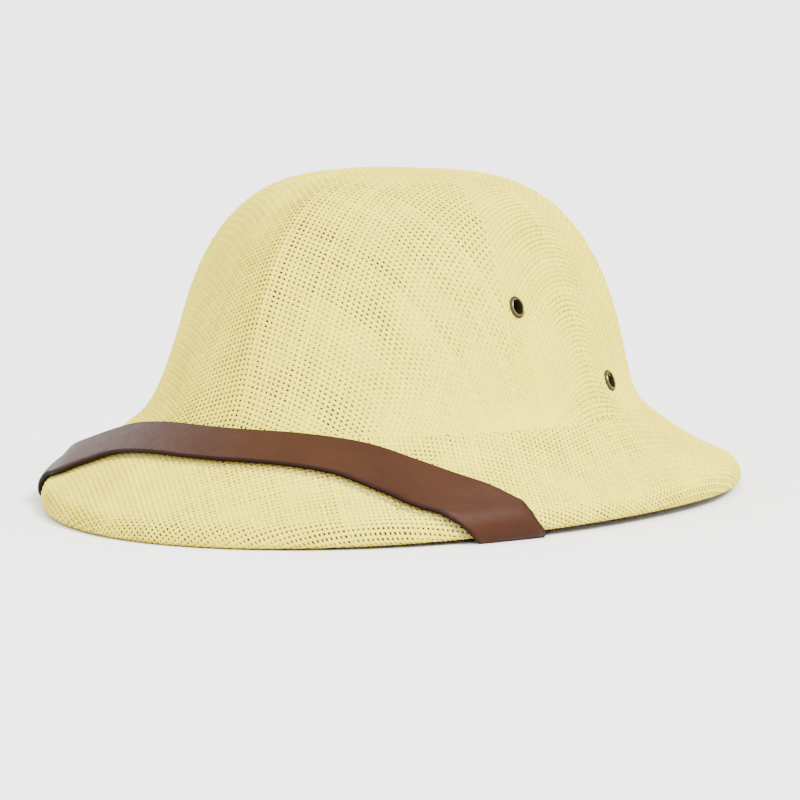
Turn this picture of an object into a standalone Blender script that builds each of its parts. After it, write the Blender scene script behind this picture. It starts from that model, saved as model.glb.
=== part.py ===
"""Straw jungle hat: a stiff sun helmet of woven straw, resting on its rim.

Metres, +Z up. The hat's front faces -Y and the wearer's left is +X. The origin is
the middle of the hat's box, on the surface that the hat rests on.
"""

import bmesh
import bpy
import numpy as np
from mathutils import Matrix, Vector

# Clearance between cloths, leather and brass that lie on each other
GAP = 0.0003

# Crown, measured from the level where it meets the brim
CROWN_HALF_WIDTH = 0.0907
CROWN_FRONT_REACH = 0.1155
CROWN_BACK_REACH = 0.1021
CROWN_HEIGHT = 0.0967
CROWN_WALL = 0.0020
FLARE_REACH = 0.0057
FLARE_FALL = 0.0086
FRONT_EDGE_RISE = 0.0019
# Crown ridges: one in six is the centre front seam and one the centre back seam
RIDGE_COUNT = 6
RIDGE_SHARPNESS = 0.60
RIDGE_FADE_SHARE = 0.50
# How square the crown's upright section is: direction, fullness of the wall, fullness of the top
CROWN_FORM = (
    ("front", 3.92, 1.25),
    ("side", 3.57, 1.96),
    ("back", 2.53, 1.73),
)

# Brim, whose rim line is two half ellipses that meet on the widest line
RIM_HALF_WIDTH = 0.1333
RIM_FRONT_REACH = 0.1867
RIM_BACK_REACH = 0.1380
CROWN_FORWARD = 0.0125
BRIM_DROP = 0.0354
BRIM_CLOTH = 0.0018
FRONT_DISH_ANGLE = np.radians(2.0)
SIDE_DISH_ANGLE = np.radians(9.0)
SHOULDER_RADIUS = 0.0085
SHOULDER_TOP_SHARE = 0.4
LIP_THICKNESS = 0.0050
FLAP_WIDTH = 0.0240
FLAP_CLOTH = 0.0015
NECK_HEIGHT = 0.0070
NECK_BEND_SHARE = 0.5

# Facing cloth under the brim
FACING_CLOTH = 0.0010

# Sweatband, measured from the level where crown and brim meet
BAND_RISE = 0.0180
BAND_HANG = 0.0100
BAND_THICKNESS = 0.0016

# Chin strap: over the front of the brim, round the rim and back up to the sweatband
STRAP_WIDTH = 0.0190
STRAP_THICKNESS = 0.0021
STRAP_REST_ANGLE = np.radians(55.5)
STRAP_ANCHOR_ANGLE = np.radians(67.0)
STRAP_TUCK = 0.0075
# How much its own weight flattens the leather on the surface, and what lies so near is flat too
STRAP_PRESS = 0.00035
STRAP_FLAT_REACH = 0.0006
STRAP_LEAVE_SHARE = 0.45
STRAP_ARRIVE_SHARE = 0.22
# Middle line on the brim: angle round the rim as a share of the rest angle, share of the way from
# the crown to the lip's lowest line, how far the cross-section leans from square to the strap to
# along the rim, and how far the edge toward the crown stands off the brim as a share of the width
STRAP_ROUTE = (
    (0.000, 0.150, 0.0, 0.00),
    (0.252, 0.160, 0.0, 0.00),
    (0.468, 0.240, 0.1, 0.02),
    (0.649, 0.420, 0.4, 0.10),
    (0.793, 0.610, 0.8, 0.16),
    (0.883, 0.745, 1.0, 0.04),
    (0.937, 0.845, 1.0, 0.00),
    (0.980, 0.945, 1.0, 0.00),
    (1.009, 1.020, 1.0, 0.00),
)

# Eyelets, mirrored on both sides: name, angle from the front in degrees, height above the brim
EYELET_PLACES = (
    ("upper", 64.8, 0.0459),
    ("lower", 101.2, 0.0129),
)
EYELET_DIAMETER = 0.0088
EYELET_HOLE = 0.0052
EYELET_TUBE_WALL = 0.0004
EYELET_HEAD = 0.0009
EYELET_WASHER = 0.0006
EYELET_WASHER_DIAMETER = 0.0082
EYELET_SAG_ROOM = 0.0002
# Domed head: share of the way from the hole to the edge, share of the head's height
EYELET_HEAD_OUTLINE = (
    (0.00, 0.55),
    (0.22, 1.00),
    (0.67, 0.80),
    (1.00, 0.30),
    (0.89, 0.00),
)

# Mesh fineness
ROUND_STEPS = 60
CROWN_ROWS = 15
NECK_ROWS = 4
SLOPE_ROWS = 7
SHOULDER_ROWS = 4
LIP_ROWS = 6
FLAP_ROWS = 4
FACING_ROWS = 5
STRAP_BRIM_ROWS = 28
STRAP_HANG_ROWS = 9
EYELET_STEPS = 16
SKIN_SAMPLES = 25
# Small moves used to find directions on the surfaces
SMALL_LENGTH = 0.0002
SMALL_SHARE = 0.002
SMALL_ANGLE = np.radians(0.5)

# Worked-out places
WIDEST_Y = (RIM_FRONT_REACH - RIM_BACK_REACH) / 2
CROWN_Y = WIDEST_Y - CROWN_FORWARD
LIP_RADIUS = LIP_THICKNESS / 2
RIM_LIFT = (STRAP_THICKNESS + GAP - STRAP_PRESS) / np.sin(STRAP_REST_ANGLE) ** 2


def blend_by_direction(angle, column):
    """Value of a CROWN_FORM column at an angle from the front, eased between front, side and back."""
    front, side, back = (row[column] for row in CROWN_FORM)
    toward = np.cos(angle)
    front_part = max(toward, 0.0) ** 2
    back_part = max(-toward, 0.0) ** 2
    return front * front_part + back * back_part + side * (1.0 - front_part - back_part)


def ridge_factor(angle, height):
    """How far the flat panels between the ridges draw in, as a factor on the reach."""
    spread = 2 * np.pi / RIDGE_COUNT
    from_middle = (angle % spread) - spread / 2
    chord = np.cos(spread / 2) / np.cos(from_middle)
    strength = RIDGE_SHARPNESS * min(max(height / CROWN_HEIGHT / RIDGE_FADE_SHARE, 0.0), 1.0)
    return 1.0 - strength * (1.0 - chord)


def crown_reach(angle, height):
    """Distance of the crown's outside from its upright axis."""
    depth = CROWN_FRONT_REACH if np.cos(angle) > 0 else CROWN_BACK_REACH
    ellipse = 1.0 / np.hypot(np.sin(angle) / CROWN_HALF_WIDTH, np.cos(angle) / depth)
    wall_fullness = blend_by_direction(angle, 1)
    top_fullness = blend_by_direction(angle, 2)
    rise = min(max(height / CROWN_HEIGHT, 0.0), 1.0) ** (top_fullness / 2)
    inward = max(1.0 - rise * rise, 0.0) ** (1.0 / wall_fullness)
    flare = FLARE_REACH * np.exp(-height / FLARE_FALL)
    return (ellipse * inward + flare) * ridge_factor(angle, height)


def crown_row_height(angle, share):
    """Height of a row of the crown, by its share of the way from the brim to the top."""
    return CROWN_HEIGHT * np.sin(share * np.pi / 2) ** (2 / blend_by_direction(angle, 2))


def from_crown_axis(angle, reach, height):
    """Point at a reach and an angle round the crown's axis, and a height above the crown's edge."""
    toward_edge = max(np.cos(angle), 0.0) ** 2 * (1.0 - height / CROWN_HEIGHT)
    level = BRIM_DROP + height + FRONT_EDGE_RISE * toward_edge
    return np.array([reach * np.sin(angle), CROWN_Y - reach * np.cos(angle), level])


def crown_slope(angle, height):
    """Change of reach with height, for setting walls square to the crown's surface."""
    low = max(height - SMALL_LENGTH, 0.0)
    high = height + SMALL_LENGTH
    return (crown_reach(angle, high) - crown_reach(angle, low)) / (high - low)


def inside_crown(angle, height, depth):
    """Point at a depth under the crown's outside, level with the given height."""
    reach = crown_reach(angle, height) - depth * np.hypot(1.0, crown_slope(angle, height))
    return from_crown_axis(angle, reach, height)


def rim_point(angle):
    """Outermost point of the brim, at the height of the lip's underside."""
    reach = RIM_FRONT_REACH if np.cos(angle) > 0 else RIM_BACK_REACH
    lift = RIM_LIFT * np.sin(angle) ** 2
    return np.array([RIM_HALF_WIDTH * np.sin(angle), WIDEST_Y - reach * np.cos(angle), lift])


def bezier(first, first_handle, last_handle, last, share):
    """Point of a cubic curve at a share of its way, or one point for each of several shares."""
    start_part = (1 - share) ** 3 * first + 3 * (1 - share) ** 2 * share * first_handle
    return start_part + 3 * (1 - share) * share ** 2 * last_handle + share ** 3 * last


class BrimSection:
    """Upright section of the brim's outer skin, from the crown's edge to the inner side of the lip."""

    def __init__(self, angle):
        start = from_crown_axis(angle, crown_reach(angle, 0.0), 0.0)
        end = rim_point(angle)
        flat = (end - start)[:2]
        self.base = start
        self.run = float(np.hypot(*flat))
        self.outward = np.append(flat / self.run, 0.0)
        self.low = float(end[2])
        edge = crown_slope(angle, 0.0)
        self.edge_down = np.array([-edge, -1.0]) / np.hypot(edge, 1.0)
        self.edge_out = np.array([1.0, -edge]) / np.hypot(edge, 1.0)
        front_part = max(np.cos(angle), 0.0) ** 2
        dish = SIDE_DISH_ANGLE + (FRONT_DISH_ANGLE - SIDE_DISH_ANGLE) * front_part
        top = self.shoulder_centre() + SHOULDER_RADIUS * np.array([SHOULDER_TOP_SHARE, 1.0])
        fall = self.slope_start() - top
        mean = np.arctan2(fall[1], -fall[0])
        self.steep_angle = mean + dish
        self.flat_angle = mean - dish
        self.skin = self.make_skin()
        steps = np.hypot(*np.diff(self.skin, axis=0).T)
        self.travel = np.concatenate([[0.0], np.cumsum(steps)])

    def slope_start(self):
        """Where the slope begins, clear of the crown's edge."""
        return np.array([0.0, self.base[2]]) + self.edge_down * GAP

    def shoulder_centre(self):
        return np.array([self.run - SHOULDER_RADIUS, self.low + LIP_RADIUS])

    def lip_centre(self):
        return np.array([self.run - LIP_RADIUS, self.low + LIP_RADIUS])

    def slope_curve(self, shares):
        """Dished slope: steeper by the crown and flatter by the shoulder."""
        start = self.slope_start()
        end = self.shoulder_curve([0.0])[0]
        handle = np.hypot(*(end - start)) / 3
        first = start + handle * np.array([np.cos(self.steep_angle), -np.sin(self.steep_angle)])
        second = end - handle * np.array([np.cos(self.flat_angle), -np.sin(self.flat_angle)])
        return bezier(start, first, second, end, np.asarray(shares)[:, None])

    def shoulder_curve(self, shares):
        """Round shoulder from the slope down to the outermost line."""
        turn = self.flat_angle + (np.pi / 2 - self.flat_angle) * np.asarray(shares)
        return self.shoulder_centre() + SHOULDER_RADIUS * np.stack([np.sin(turn), np.cos(turn)], -1)

    def lip_curve(self, shares):
        """Round underside of the lip, from its outer to its inner side."""
        turn = np.pi * np.asarray(shares)
        return self.lip_centre() + LIP_RADIUS * np.stack([np.cos(turn), -np.sin(turn)], -1)

    def make_skin(self):
        shares = np.linspace(0.0, 1.0, SKIN_SAMPLES)
        slope = self.slope_curve(shares)
        return np.vstack([slope, self.shoulder_curve(shares[1:]), self.lip_curve(shares[1:])])

    def under_skin(self, runs, depth):
        """Points under the slope and shoulder, at distances from the crown's edge and a depth of cloth."""
        top = self.skin[: 2 * SKIN_SAMPLES - 1]
        heights = np.interp(runs, top[:, 0], top[:, 1])
        slopes = np.interp(runs, top[:, 0], np.gradient(top[:, 1], top[:, 0]))
        return np.stack([runs, heights - depth * np.hypot(1.0, slopes)], -1)

    def bottom_travel(self):
        """Length of the skin from the crown's edge to the lowest line of the lip."""
        return self.travel[-(SKIN_SAMPLES // 2) - 1]

    def at(self, travel, lift=0.0):
        """Point on the skin at a length from the crown's edge, raised square to it."""
        travel = min(travel, self.travel[-1])
        flat, ahead, behind = (
            np.array([np.interp(place, self.travel, self.skin[:, k]) for k in (0, 1)])
            for place in (travel, travel + 2 * SMALL_LENGTH, travel - 2 * SMALL_LENGTH)
        )
        along = (ahead - behind) / np.hypot(*(ahead - behind))
        return self.place(flat + lift * np.array([-along[1], along[0]]))

    def place(self, flat):
        """World point of a point of the section."""
        return np.array([*(self.base + self.outward * flat[0])[:2], flat[1]])


def material(name, colour, roughness, metallic=0.0):
    made = bpy.data.materials.new(name)
    made.use_nodes = True
    shader = made.node_tree.nodes["Principled BSDF"]
    shader.inputs["Base Color"].default_value = (*colour, 1.0)
    shader.inputs["Roughness"].default_value = roughness
    shader.inputs["Metallic"].default_value = metallic
    return made


def add_object(name, points, faces, finish, smooth_angle=35.0):
    """Object from points and faces, with its faces turned outward and its round parts shaded smooth."""
    mesh = bpy.data.meshes.new(name)
    mesh.from_pydata([tuple(p) for p in points], [], faces)
    body = bmesh.new()
    body.from_mesh(mesh)
    bmesh.ops.recalc_face_normals(body, faces=body.faces)
    body.to_mesh(mesh)
    body.free()
    mesh.shade_smooth()
    mesh.set_sharp_from_angle(angle=np.radians(smooth_angle))
    mesh.materials.append(finish)
    made = bpy.data.objects.new(name, mesh)
    bpy.context.collection.objects.link(made)
    return made


def grid_faces(rows, columns, close_rows, close_columns, start=0):
    """Four-sided faces of a grid of points stored row by row."""
    faces = []
    for i in range(rows if close_rows else rows - 1):
        for j in range(columns if close_columns else columns - 1):
            a, b = i * columns, ((i + 1) % rows) * columns
            k = (j + 1) % columns
            faces.append((start + a + j, start + a + k, start + b + k, start + b + j))
    return faces


def ring_of_sections(name, section, finish):
    """Closed ring whose section at each angle is a closed loop of points."""
    angles = np.arange(ROUND_STEPS) * 2 * np.pi / ROUND_STEPS
    loops = [section(angle) for angle in angles]
    points = np.vstack(loops)
    return add_object(name, points, grid_faces(ROUND_STEPS, len(loops[0]), True, True), finish)


def crown_normal(angle, share):
    """Outward direction of the crown's surface, kept in the seam's plane at the seam."""
    low_share = max(share - SMALL_SHARE, 0.0)
    high_share = min(share + SMALL_SHARE, 1.0 - SMALL_SHARE)

    def point(at_angle, at_share):
        height = crown_row_height(at_angle, at_share)
        return from_crown_axis(at_angle, crown_reach(at_angle, height), height)

    along = point(angle + SMALL_SHARE, share) - point(angle - SMALL_SHARE, share)
    up = point(angle, high_share) - point(angle, low_share)
    normal = np.cross(along, up)
    normal /= np.linalg.norm(normal)
    on_seam = abs(np.sin(angle)) < SMALL_SHARE
    if on_seam:
        normal[0] = 0.0
        normal /= np.linalg.norm(normal)
    return normal


def crown_half(name, side, finish):
    """Half shell of the crown on one side of the centre seam, open at its edge."""
    columns = ROUND_STEPS // 2 + 1
    shares = np.linspace(0.0, 1.0, CROWN_ROWS)
    shares = shares * shares * (3 - 2 * shares)
    angles = np.linspace(0.0, np.pi, columns)
    top = from_crown_axis(0.0, 0.0, CROWN_HEIGHT)
    outer = []
    inner = []
    for share in shares[:-1]:
        for angle in angles:
            height = crown_row_height(angle, share)
            skin = from_crown_axis(angle, crown_reach(angle, height), height)
            outer.append(skin)
            inner.append(skin - CROWN_WALL * crown_normal(angle, share))
    points = np.array(outer + [top] + inner + [top - np.array([0.0, 0.0, CROWN_WALL])])
    points[:, 0] = side * (np.maximum(points[:, 0], 0.0) + GAP / 2)
    rows = CROWN_ROWS - 1
    shell = rows * columns + 1
    faces = grid_faces(rows, columns, False, False) + grid_faces(rows, columns, False, False, shell)
    for offset in (0, shell):
        last = offset + (rows - 1) * columns
        faces += [(last + j, last + j + 1, offset + shell - 1) for j in range(columns - 1)]
    for row in range(rows - 1):
        for j in (0, columns - 1):
            a, b = row * columns + j, (row + 1) * columns + j
            faces.append((a, b, b + shell, a + shell))
    for j in (0, columns - 1):
        a = (rows - 1) * columns + j
        faces.append((a, shell - 1, 2 * shell - 1, a + shell))
    faces += [(j, j + 1, j + 1 + shell, j + shell) for j in range(columns - 1)]
    return add_object(name, points, faces, finish)


def eyelet_frame(place, side):
    """Matrix whose +Z is the crown's outward direction at an eyelet, with its origin on the skin."""
    _, degrees, height = place
    angle = np.radians(degrees)
    share = np.arcsin((height / CROWN_HEIGHT) ** (blend_by_direction(angle, 2) / 2)) / (np.pi / 2)
    normal = crown_normal(angle, share)
    spot = from_crown_axis(angle, crown_reach(angle, height), height)
    spot[0] += GAP / 2
    mirror = np.array([side, 1.0, 1.0])
    turn = Vector(normal * mirror).to_track_quat("Z", "Y").to_matrix().to_4x4()
    return Matrix.Translation(Vector(spot * mirror)) @ turn


def turned_body(name, outline, frame, finish):
    """Ring turned round its own Z axis from a closed outline of radius and height."""
    points = []
    for radius, height in outline:
        for step in range(EYELET_STEPS):
            turn = step * 2 * np.pi / EYELET_STEPS
            points.append(frame @ Vector((radius * np.cos(turn), radius * np.sin(turn), height)))
    return add_object(name, points, grid_faces(len(outline), EYELET_STEPS, True, True), finish)


def cut_eyelet_hole(shell, frame, index):
    """Cut the hole for one eyelet's tube through a crown half."""
    radius = EYELET_HOLE / 2 + EYELET_TUBE_WALL + GAP
    reach = 4 * CROWN_WALL
    mesh = bpy.data.meshes.new("eyelet_cutter")
    body = bmesh.new()
    bmesh.ops.create_cone(
        body, cap_ends=True, segments=EYELET_STEPS, radius1=radius, radius2=radius, depth=reach, matrix=frame
    )
    body.to_mesh(mesh)
    body.free()
    cutter = bpy.data.objects.new(f"{shell.name}_eyelet_cutter_{index}", mesh)
    bpy.context.collection.objects.link(cutter)
    cutter.hide_render = True
    cutter.display_type = "WIRE"
    cut = shell.modifiers.new(f"eyelet_hole_{index}", "BOOLEAN")
    cut.operation = "DIFFERENCE"
    cut.solver = "EXACT"
    cut.object = cutter


def add_eyelets(shell, side_name, side, finish):
    """Brass eyelets of one crown half: domed head outside, tube through the wall, washer inside."""
    for index, place in enumerate(EYELET_PLACES):
        frame = eyelet_frame(place, side)
        cut_eyelet_hole(shell, frame, index)
        hole = EYELET_HOLE / 2
        tube = hole + EYELET_TUBE_WALL
        brim_width = EYELET_DIAMETER / 2 - hole
        head = [(hole + out * brim_width, GAP + up * EYELET_HEAD) for out, up in EYELET_HEAD_OUTLINE]
        under = -(CROWN_WALL + GAP + EYELET_SAG_ROOM)
        outline = [
            (hole, under - EYELET_WASHER),
            *head,
            (tube, GAP),
            (tube, under),
            (EYELET_WASHER_DIAMETER / 2, under),
            (EYELET_WASHER_DIAMETER / 2, under - EYELET_WASHER),
        ]
        turned_body(f"eyelet_{place[0]}_{side_name}", outline, frame, finish)


def brim_loop(angle):
    """Closed section of the brim: neck, slope, rolled lip, turned-under flap and cloth underside."""
    section = BrimSection(angle)
    neck_heights = np.linspace(NECK_HEIGHT, 0.0, NECK_ROWS)
    loop = [inside_crown(angle, height, CROWN_WALL + GAP) for height in neck_heights[:-1]]
    rebate = section.slope_start() - section.edge_out * (CROWN_WALL + GAP)
    loop.append(section.place(rebate))
    loop += [section.place(p) for p in section.slope_curve(np.linspace(0.0, 1.0, SLOPE_ROWS))]
    loop += [section.place(p) for p in section.shoulder_curve(np.linspace(0.0, 1.0, SHOULDER_ROWS + 1)[1:])]
    loop += [section.place(p) for p in section.lip_curve(np.linspace(0.0, 1.0, LIP_ROWS + 1)[1:])]
    inner_lip = section.run - LIP_THICKNESS
    flap_edge = section.run - FLAP_WIDTH
    flap_runs = np.linspace(inner_lip, flap_edge, FLAP_ROWS)
    loop += [section.place(p) for p in section.under_skin(flap_runs, BRIM_CLOTH + FLAP_CLOTH)]
    cloth_start = cloth_under_start(section)
    cloth_runs = np.linspace(flap_edge, cloth_start, FACING_ROWS)
    loop += [section.place(p) for p in section.under_skin(cloth_runs, BRIM_CLOTH)]
    depth = CROWN_WALL + GAP + BRIM_CLOTH
    loop += [inside_crown(angle, height, depth) for height in neck_heights[::-1][1:]]
    return np.array(loop)


def cloth_under_start(section):
    """Distance from the crown's edge where the brim cloth's underside turns up into the neck."""
    wall = CROWN_WALL + GAP + BRIM_CLOTH
    return section.slope_start()[0] - wall * section.edge_out[0] * NECK_BEND_SHARE


def facing_loop(angle):
    """Closed section of the facing cloth, from the head opening to the flap's edge."""
    section = BrimSection(angle)
    start = cloth_under_start(section)
    end = section.run - FLAP_WIDTH - GAP
    runs = np.linspace(start, end, FACING_ROWS)
    over = section.under_skin(runs, BRIM_CLOTH + GAP)
    under = section.under_skin(runs[::-1], BRIM_CLOTH + GAP + FACING_CLOTH)
    return np.array([section.place(p) for p in np.vstack([over, under])])


def band_reach(angle, height):
    """Outer face of the sweatband: along the crown above the neck, straight down below it."""
    level = max(height, NECK_HEIGHT)
    depth = CROWN_WALL + GAP + BRIM_CLOTH + GAP
    return crown_reach(angle, level) - depth * np.hypot(1.0, crown_slope(angle, level))


def band_loop(angle):
    """Closed section of the sweatband."""
    heights = (BAND_RISE, NECK_HEIGHT, 0.0, -BAND_HANG)
    outer = [from_crown_axis(angle, band_reach(angle, h), h) for h in heights]
    inner = [from_crown_axis(angle, band_reach(angle, h) - BAND_THICKNESS, h) for h in reversed(heights)]
    return np.array(outer + inner)


def smooth_through(points, shares):
    """Points on a smooth curve through the given points, at shares of the way along them."""
    points = np.asarray(points, dtype=float)
    ahead = np.vstack([points[1:], 2 * points[-1:] - points[-2:-1]])
    behind = np.vstack([2 * points[:1] - points[1:2], points[:-1]])
    tangents = (ahead - behind) / 2
    out = []
    for share in shares:
        place = share * (len(points) - 1)
        k = min(int(place), len(points) - 2)
        s = place - k
        out.append(
            (2 * s ** 3 - 3 * s ** 2 + 1) * points[k]
            + (s ** 3 - 2 * s ** 2 + s) * tangents[k]
            + (3 * s ** 2 - 2 * s ** 3) * points[k + 1]
            + (s ** 3 - s ** 2) * tangents[k + 1]
        )
    return np.array(out)


def strap_column(route_point, route_ahead):
    """Closed cross-section of the strap where it lies on the brim, walking round it once.

    The section runs square to the strap on the slope and along the rim where the strap rolls
    over the lip, as the lean in the route says.
    """
    angle, share, lean, stand_off = route_point
    section = BrimSection(angle)
    travel = share * section.bottom_travel()
    round_rim = BrimSection(angle + SMALL_ANGLE).at(travel) - BrimSection(angle - SMALL_ANGLE).at(travel)
    speed = np.linalg.norm(round_rim) / (2 * SMALL_ANGLE)
    ahead_travel = route_ahead[1] * BrimSection(route_ahead[0]).bottom_travel()
    along = np.array([(route_ahead[0] - angle) * speed, ahead_travel - travel])
    along /= np.hypot(*along)
    square = np.array([along[1], -along[0]])
    across = (1 - lean) * square + lean * np.array([1.0, 0.0])
    across *= STRAP_WIDTH / 2 / abs(np.dot(across, square))
    loop = []
    for lift, offsets in ((GAP, (1.0, 0.0, -1.0)), (GAP + STRAP_THICKNESS, (-1.0, 0.0, 1.0))):
        for offset in offsets:
            beside = BrimSection(angle + offset * across[0] / speed)
            beside_share = share + offset * across[1] / section.bottom_travel()
            raised = lift + stand_off * STRAP_WIDTH * (1 + offset) / 2
            loop.append(beside.at(max(beside_share * beside.bottom_travel(), 2 * GAP), raised))
    return np.array(loop)


def strap_on_brim():
    """Cross-sections of half the strap from the centre front over the brim to the lip's inner side."""
    route = np.array(STRAP_ROUTE)
    route[:, 0] *= STRAP_REST_ANGLE
    shares = np.linspace(0.0, 1.0, STRAP_BRIM_ROWS)
    samples = smooth_through(route, shares)
    ahead = smooth_through(route, shares + SMALL_SHARE)
    columns = [strap_column(point, front) for point, front in zip(samples, ahead)]
    for column in columns:
        pressed = column[3:, 2] < STRAP_FLAT_REACH
        column[3:, 2][pressed] = 0.0
    return columns


def strap_hang(columns):
    """Cross-sections of the stretch from the lip's inner side up to its end beside the sweatband."""
    lengths = [(column[:3] + column[:2:-1]) / 2 for column in columns[-2:]]
    start = lengths[1]
    heading = (start[1] - lengths[0][1]) * np.array([1.0, 1.0, 0.0])
    heading /= np.linalg.norm(heading)
    step = STRAP_WIDTH / 2 / CROWN_HALF_WIDTH
    level = STRAP_TUCK - BAND_HANG
    seat, behind, before = (
        from_crown_axis(angle, band_reach(angle, level), level)
        for angle in (STRAP_ANCHOR_ANGLE, STRAP_ANCHOR_ANGLE + step, STRAP_ANCHOR_ANGLE - step)
    )
    backward = (behind - before) * np.array([1.0, 1.0, 0.0])
    backward /= np.linalg.norm(backward)
    rise = np.array([0.0, 0.0, 1.0])
    place = seat + np.cross(backward, rise) * (GAP + STRAP_THICKNESS / 2)
    chord = np.linalg.norm(place - start[1])
    leave = heading * chord * STRAP_LEAVE_SHARE
    arrive = rise * chord * STRAP_ARRIVE_SHARE
    made = []
    for row in range(1, STRAP_HANG_ROWS + 1):
        share = row / STRAP_HANG_ROWS
        middles = []
        befores = []
        for edge, offset in zip(start, (1.0, 0.0, -1.0)):
            end = place + backward * offset * STRAP_WIDTH / 2
            middles.append(bezier(edge, edge + leave, end - arrive, end, share))
            befores.append(bezier(edge, edge + leave, end - arrive, end, share - SMALL_SHARE))
        square = np.cross(middles[0] - middles[2], middles[1] - befores[1])
        square *= STRAP_THICKNESS / 2 / np.linalg.norm(square)
        inner = [middle + square for middle in middles]
        outer = [middle - square for middle in reversed(middles)]
        made.append(np.array(inner + outer))
    return made


def chin_strap(finish):
    """Leather strap: one ribbon from the sweatband round the rim, across the brim and back."""
    columns = strap_on_brim()
    half = columns + strap_hang(columns)
    mirrored = [section * np.array([-1.0, 1.0, 1.0]) for section in half[:0:-1]]
    sections = mirrored + half
    points = np.vstack(sections)
    width = len(half[0])
    count = len(sections)
    faces = grid_faces(count, width, False, True)
    faces.append(tuple(range(width)))
    faces.append(tuple(range((count - 1) * width, count * width)))
    return add_object("chin_strap", points, faces, finish)


def main():
    for old in list(bpy.data.objects):
        bpy.data.objects.remove(old, do_unlink=True)
    straw = material("straw_cloth", (0.88, 0.78, 0.46), 0.72)
    straw_under = material("straw_facing", (0.50, 0.33, 0.12), 0.78)
    leather = material("strap_leather", (0.17, 0.075, 0.05), 0.42)
    band_leather = material("band_leather", (0.035, 0.018, 0.02), 0.55)
    brass = material("aged_brass", (0.33, 0.29, 0.17), 0.38, 1.0)
    for side_name, side in (("left", 1.0), ("right", -1.0)):
        shell = crown_half(f"crown_{side_name}", side, straw)
        add_eyelets(shell, side_name, side, brass)
    ring_of_sections("brim", brim_loop, straw)
    ring_of_sections("under_brim", facing_loop, straw_under)
    ring_of_sections("sweatband", band_loop, band_leather)
    chin_strap(leather)


if __name__ == "__main__":
    main()
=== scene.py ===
"""Looks of a stiff woven straw sun helmet, standing on a pale floor.

Metres, +Z up. The hat's front faces -Y and the wearer's left is +X. The straw cloth is made of real
threads that pass over and under each other on a near-black ground, laid on the crown and the brim. The
ground's dark colour is painted shade, standing for the shade seen through the weave's holes.
"""

from __future__ import annotations

import logging
import math
from dataclasses import dataclass, field
from enum import Enum
from functools import cached_property
from typing import Callable, Iterable, Sequence

import bmesh
import bpy
import numpy as np
from mathutils import Matrix, Vector


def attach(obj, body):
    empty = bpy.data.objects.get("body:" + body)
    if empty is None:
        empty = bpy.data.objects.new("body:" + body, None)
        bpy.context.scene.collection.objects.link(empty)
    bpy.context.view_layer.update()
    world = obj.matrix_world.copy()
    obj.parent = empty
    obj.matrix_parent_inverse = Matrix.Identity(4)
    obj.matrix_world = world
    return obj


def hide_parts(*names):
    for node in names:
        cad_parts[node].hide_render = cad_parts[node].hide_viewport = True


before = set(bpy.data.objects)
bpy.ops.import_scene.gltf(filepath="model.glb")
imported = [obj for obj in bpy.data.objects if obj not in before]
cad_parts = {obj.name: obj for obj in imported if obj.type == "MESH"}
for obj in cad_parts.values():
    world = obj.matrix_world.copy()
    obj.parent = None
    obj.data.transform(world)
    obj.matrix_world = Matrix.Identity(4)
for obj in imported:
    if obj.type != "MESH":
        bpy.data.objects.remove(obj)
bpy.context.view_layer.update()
LOG = logging.getLogger("hat")
ROOT = "root"
BAKE_MAP = "OFBake"
CLOTH_MAP = "Cloth"
FULL_TURN = 2 * math.pi
# Metres of the cloth map for a turn of one radian.
MAP_REACH = 0.1
# Points on each of the three curves of the brim's section.
SKIN_STEPS = 25
# Spread of the threads' stray from their even places.
WANDER = 0.00005

Colour = tuple[float, float, float]


class Side(Enum):
    """Wearer's side of the hat, with the sign of its X."""

    LEFT = 1.0
    RIGHT = -1.0

    @property
    def label(self) -> str:
        """Name of the side in piece names."""
        return self.name.lower()

    def mirror(self, vectors: np.ndarray) -> np.ndarray:
        """Points or directions of the left side, brought to this side."""
        return vectors * np.array([self.value, 1.0, 1.0])


# ---- shape of the hat


def mix(first: np.ndarray, second: np.ndarray, share: np.ndarray) -> np.ndarray:
    """Values between two arrays at a share of the way."""
    return first + (second - first) * share


def unit(vectors: np.ndarray) -> np.ndarray:
    """Vectors along the last axis, made one long."""
    return vectors / np.maximum(np.linalg.norm(vectors, axis=-1, keepdims=True), 1e-12)


def strap_shadow_mark(points: np.ndarray, spots: np.ndarray, reach: float) -> np.ndarray:
    """How much painted shadow the straw gets at points, from how near the nearest of some spots is.

    Args:
        points: Points of the straw.
        spots: Places beside the strap's lower edge where its shadow is painted on the straw.
        reach: Distance over which the mark fades.

    Returns:
        One value for each point.
    """
    marks = np.zeros(len(points))
    near = ((points > spots.min(0) - 3 * reach) & (points < spots.max(0) + 3 * reach)).all(1)
    if near.any():
        nearest = np.linalg.norm(points[near][:, None] - spots[None], axis=-1).min(1)
        marks[near] = np.exp(-((nearest / reach) ** 2))
    return marks


def bezier(points: Sequence[np.ndarray], share: np.ndarray) -> np.ndarray:
    """Points of a cubic curve, given by its start, two handles and end, at shares of the way."""
    (first, second, third, last), s = points, np.asarray(share)[:, None]
    return (1 - s) ** 3 * first + 3 * (1 - s) ** 2 * s * second + 3 * (1 - s) * s * s * third + s**3 * last


def running_total(steps: np.ndarray) -> np.ndarray:
    """Distances after each of some steps, from nothing."""
    return np.concatenate([[0.0], np.cumsum(steps)])


def travelled(line: np.ndarray) -> np.ndarray:
    """Distances along a flat line to each of its points."""
    return running_total(np.hypot(*np.diff(line, axis=0).T))


def sunk(line: np.ndarray, depth: float) -> np.ndarray:
    """Flat line moved by a depth toward its right-hand side."""
    tangent = np.gradient(line, axis=0)
    return line - np.stack([-tangent[:, 1], tangent[:, 0]], -1) / np.hypot(*tangent.T)[:, None] * depth


def slanted(points: np.ndarray) -> np.ndarray:
    """Plan places of points along and across the brim cloth's threads."""
    return np.stack([points[:, 0] + points[:, 1], points[:, 1] - points[:, 0]], -1) / math.sqrt(2.0)


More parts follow.
